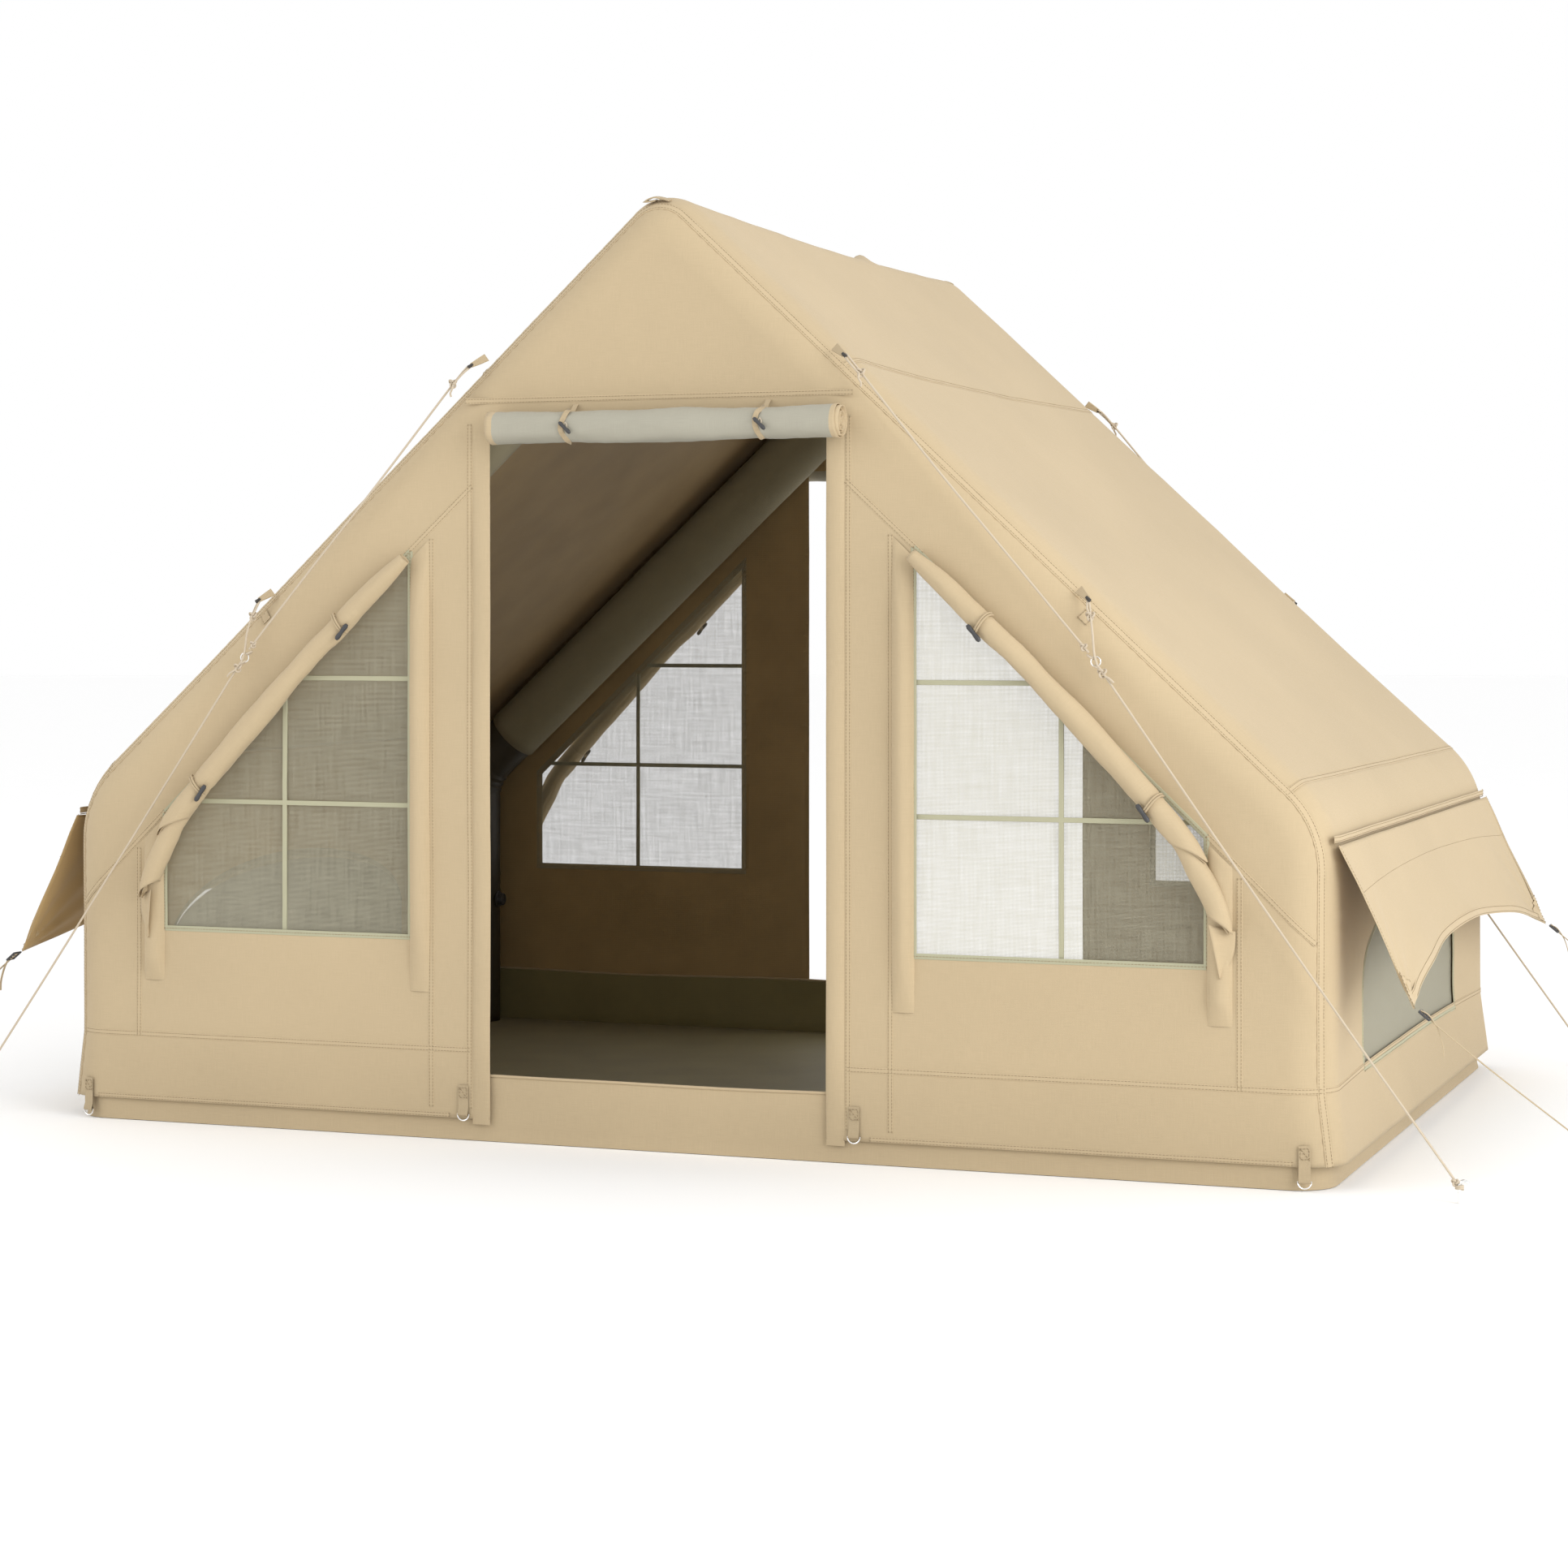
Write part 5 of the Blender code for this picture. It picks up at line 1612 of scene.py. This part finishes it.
class AirBeams(bpy.types.Operator):
    """The two arches: film bladders in woven sleeves, with their valves"""
    bl_idname = "tent.air_beams"
    bl_label = "Air beams"

    def execute(self, context):
        for end in ("front", "rear"):
            y = -HALF_DEPTH + BEAM_INSET
            self.tube(end, y, "air_beam", "bladder_film", "beam_bladder", BEAM_R, False)
            self.tube(end, y, "beam_sleeve", "sleeve_cloth", "beam_sleeve", SLEEVE_R, True)
            self.valve(end, y)
        return {"FINISHED"}

    def tube(self, end, y, word, finish, slot, radius, sleeve):
        path = [p + Vector((0, y, 0)) for p in arch_path(sleeve)]
        bm = bmesh.new()

        def skin(share, along):
            ring = []
            for k in range(32):
                angle = 2 * math.pi * k / 32
                knee = max(math.exp(-((abs(share - 0.5) - mark) / 0.03) ** 2) for mark in (0.343, 0.03))
                folds = 0.0022 * knee * math.sin(along * 2 * math.pi / 0.034) * max(0.0, -math.cos(angle) + 0.2)
                soft = 0.0007 * noise.noise(Vector((along * 7, math.cos(angle) * 2, math.sin(angle) * 2)))
                size = radius - 0.0008 + (soft if sleeve else folds + soft)
                if sleeve and along < 0.02:
                    size += 0.0008
                ring.append((size * math.cos(angle), size * math.sin(angle)))
            return ring

        sweep(bm, path, skin, up=Vector((0, -1, 0)), capped=False)
        bmesh.ops.recalc_face_normals(bm, faces=bm.faces[:])
        piece = add_piece(f"{end}_{word}_skin", bm, (finish,), stands_for=(f"{word}_{end}",),
                          half_turn=end == "rear")
        give_wall(piece, 0.0008 if sleeve else 0.001)

    def valve(self, end, y):
        bm = bmesh.new()
        shape = [(0.024, 0.0), (0.024, 0.003), (0.0225, 0.0042), (0.018, 0.0044), (0.0175, 0.006), (0.0175, 0.0165),
                 (0.016, 0.018), (0.0085, 0.018), (0.008, 0.0165), (0.0035, 0.0162)]
        face_x = WALL_X - BEAM_INSET - BEAM_R - 0.0003
        rows = []
        for radius, height in shape:
            row = []
            for k in range(40):
                angle = 2 * math.pi * k / 40
                grip = 0.0007 if 0.0055 < height < 0.017 and radius > 0.015 and k % 4 < 2 else 0.0
                row.append(Vector((face_x - height, y + (radius - grip) * math.cos(angle),
                                   VALVE_Z + (radius - grip) * math.sin(angle))))
            rows.append(row)
        grid = net(bm, rows, None, 0, wrap=True)
        cap(bm, grid[0])
        cap(bm, grid[-1])
        add_piece(f"{end}_valve", bm, ("dark_plastic",), stands_for=(f"air_valve_{end}",),
                  half_turn=end == "rear", outward=True, sharp=30)


def tub_outline():
    """Points round the foot of the tub, on its outer face."""
    outline = []
    for cx, cy, start in ((1, 1, 0), (-1, 1, 90), (-1, -1, 180), (1, -1, 270)):
        for k in range(9):
            angle = math.radians(start + 90 * k / 8)
            outline.append(Vector((cx * (TUB_X - TUB_CORNER_R) + TUB_CORNER_R * math.cos(angle),
                                   cy * (TUB_Y - TUB_CORNER_R) + TUB_CORNER_R * math.sin(angle), 0)))
    return line([*outline, outline[0]], 0.03)[:-1]


class Groundsheet(bpy.types.Operator):
    """Tub floor with soft walls, canvas outside and coated inside, and a bound rim"""
    bl_idname = "tent.groundsheet"
    bl_label = "Groundsheet"

    def execute(self, context):
        bm = bmesh.new()
        outline = tub_outline()
        levels = [0.0006, 0.004, 0.012, 0.03, 0.05, 0.07, 0.09, 0.11, 0.13, 0.142, TUB_HEIGHT]
        rows, uvs = [], []
        around = lengths([*outline, outline[0]])
        for z in levels:
            row, uv = [], []
            for k in range(len(outline) + 1):
                point = outline[k % len(outline)]
                slack = 0.0045 * noise.noise(Vector((around[k % len(outline)] * 3.0, z * 9, 2.0))) * ease(0.0, 0.03, z)
                inward = Vector((-point.x / TUB_X, -point.y / TUB_Y, 0)).normalized()
                lean = 0.0035 - slack - (0.004 * (1 - ease(0.0, 0.012, z)))
                place = point + inward * max(lean, 0.0006)
                droop = 0.004 * noise.noise(Vector((around[k % len(outline)] * 2.2, 5.0, 1.0)))
                place.z = z + (droop - 0.002) * ease(0.05, TUB_HEIGHT, z)
                row.append(place)
                uv.append((around[k], z))
            rows.append(row)
            uvs.append(uv)
        net(bm, rows, uvs, 1)
        self.floor(bm)
        bmesh.ops.remove_doubles(bm, verts=bm.verts[:], dist=2e-5)
        bm.normal_update()
        bmesh.ops.recalc_face_normals(bm, faces=bm.faces[:])
        inner = [f for f in bm.faces if f.material_index == 0]
        if inner and inner[0].normal.z > 0:
            bmesh.ops.reverse_faces(bm, faces=bm.faces[:])
        piece = add_piece("tub_groundsheet", bm, ("tub_sheet", "canvas", "tub_sheet", "tub_sheet"),
                          stands_for=("groundsheet",))
        give_wall(piece, 0.0012, 2)
        rim = bmesh.new()
        sweep(rim, rows[-1][:-1], circle(0.0032, 8), up=Vector((0, 0, 1)), closed=True)
        add_piece("tub_rim", rim, ("canvas_binding",), outward=True)
        return {"FINISHED"}

    def floor(self, bm):
        """The flat of the floor as rings drawn in towards its middle, with soft rumples."""
        outline = tub_outline()
        rows, uvs = [], []
        shares = [1.0, 0.985, 0.96, 0.92, 0.86, 0.78, 0.68, 0.56, 0.42, 0.27, 0.12, 0.02]
        for share in shares:
            row, uv = [], []
            for k in range(len(outline) + 1):
                point = outline[k % len(outline)]
                inward = Vector((-point.x / TUB_X, -point.y / TUB_Y, 0)).normalized()
                place = (point + inward * 0.0006) * share if share < 1.0 else point + inward * 0.0006
                rumple = 0.5 + noise.noise(Vector((place.x * 3.2, place.y * 3.2, 8.0)))
                place.z = 0.0006 + (0.0035 * max(rumple, 0.0) if share < 0.99 else 0.0)
                row.append(place)
                uv.append((place.x, place.y))
            rows.append(row)
            uvs.append(uv)
        grid = net(bm, rows, uvs, 0)
        cap(bm, grid[-1][:-1], 0)


class Fittings(bpy.types.Operator):
    """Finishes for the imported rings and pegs"""
    bl_idname = "tent.fittings"
    bl_label = "Rings and pegs"

    def execute(self, context):
        wire = finish_of("plated_wire")
        for name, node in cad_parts.items():
            if node.hide_render:
                continue
            if not name.startswith(("peg_ring", "guy_ring", "guy_peg", "awning_peg")):
                raise RuntimeError(f"{name} has no finish")
            node.data.materials.clear()
            node.data.materials.append(wire)
        return {"FINISHED"}


class Studio(bpy.types.Operator):
    """Camera, pale floor and soft lights"""
    bl_idname = "tent.studio"
    bl_label = "Studio"

    def execute(self, context):
        scene = context.scene
        lens = bpy.data.cameras.new("camera")
        lens.lens = 75.8
        lens.sensor_width = 36
        lens.shift_y = -0.1066
        lens.clip_end = 200
        camera = bpy.data.objects.new("camera", lens)
        camera.location = (2.828, -7.797, 1.185)
        camera.rotation_euler = (math.radians(90), 0, math.radians(20.5))
        scene.collection.objects.link(camera)
        scene.camera = camera
        scene.view_settings.view_transform = "Standard"
        self.world(scene)
        self.floor(scene)
        for name, power, size, place, aim in (
                ("key", 520, 6.0, (8.6, -4.4, 3.3), (0, 0, 0.8)),
                ("fill", 108, 5.0, (-6.5, -6.0, 4.0), (0, 0, 0.9)),
                ("back", 15, 5.0, (1.0, 7.5, 5.5), (0, 0, 1.2))):
            light = bpy.data.lights.new(name, "AREA")
            light.energy = power
            light.size = size
            lamp = bpy.data.objects.new(name, light)
            lamp.location = place
            lamp.rotation_euler = (Vector(aim) - Vector(place)).to_track_quat("-Z", "Y").to_euler()
            scene.collection.objects.link(lamp)
        return {"FINISHED"}

    def world(self, scene):
        world = bpy.data.worlds.new("studio")
        world.use_nodes = True
        shader = world.node_tree.nodes["Background"]
        shader.inputs["Color"].default_value = (1.0, 1.0, 1.0, 1.0)
        shader.inputs["Strength"].default_value = 1.0
        scene.world = world

    def floor(self, scene):
        bm = bmesh.new()
        rows = [[Vector((radius * math.cos(a * math.pi / 32), radius * math.sin(a * math.pi / 32), -0.0006))
                 for a in range(64)] for radius in (60.0, 20.0, 6.0, 0.5)]
        grid = net(bm, rows, None, 0, wrap=True)
        cap(bm, grid[-1])
        bmesh.ops.recalc_face_normals(bm, faces=bm.faces[:])
        mesh = bpy.data.meshes.new("studio_floor")
        bm.to_mesh(mesh)
        bm.free()
        material, tree, shader = new_finish("studio_paper", 0.9)
        where = put(tree, "ShaderNodeTexCoord")
        speckle = put(tree, "ShaderNodeTexNoise", {"Vector": where.outputs["Object"], "Scale": 3.0})
        tint = tuple(scene.tent_colours.floor)
        tree.links.new(tinted(tree, tint, speckle.outputs["Fac"], 0.99, 1.0), shader.inputs["Base Color"])
        mesh.materials.append(material)
        new_object("studio_floor", mesh)


class TentPanel(bpy.types.Panel):
    """Lists the tent's pieces and their settings"""
    bl_idname = "VIEW3D_PT_house_tent"
    bl_label = "House Tent"
    bl_space_type = "VIEW_3D"
    bl_region_type = "UI"
    bl_category = "Tent"

    def draw(self, context):
        layout = self.layout
        for group in (context.scene.tent_shape, context.scene.tent_colours):
            box = layout.box()
            for key in group.__annotations__:
                box.prop(group, key)
        for operator in OPERATORS:
            layout.operator(operator.bl_idname)


OPERATORS = (Studio, GuyLines, GableSkins, RoofAndSides, SeamsAndStitches, ScreensAndStrips, SideWindows,
             DoorRolls, WindowFlaps, Awnings, PatchesAndTabs, AirBeams, Groundsheet, Fittings)
CLASSES = (TentShape, TentColours, *OPERATORS, TentPanel)


def register():
    for item in CLASSES:
        bpy.utils.register_class(item)
    bpy.types.Scene.tent_shape = bpy.props.PointerProperty(type=TentShape)
    bpy.types.Scene.tent_colours = bpy.props.PointerProperty(type=TentColours)


def unregister():
    del bpy.types.Scene.tent_colours
    del bpy.types.Scene.tent_shape
    for item in reversed(CLASSES):
        bpy.utils.unregister_class(item)


def main():
    register()
    for operator in OPERATORS:
        group, name = operator.bl_idname.split(".")
        getattr(getattr(bpy.ops, group), name)()


if __name__ == "__main__":
    main()
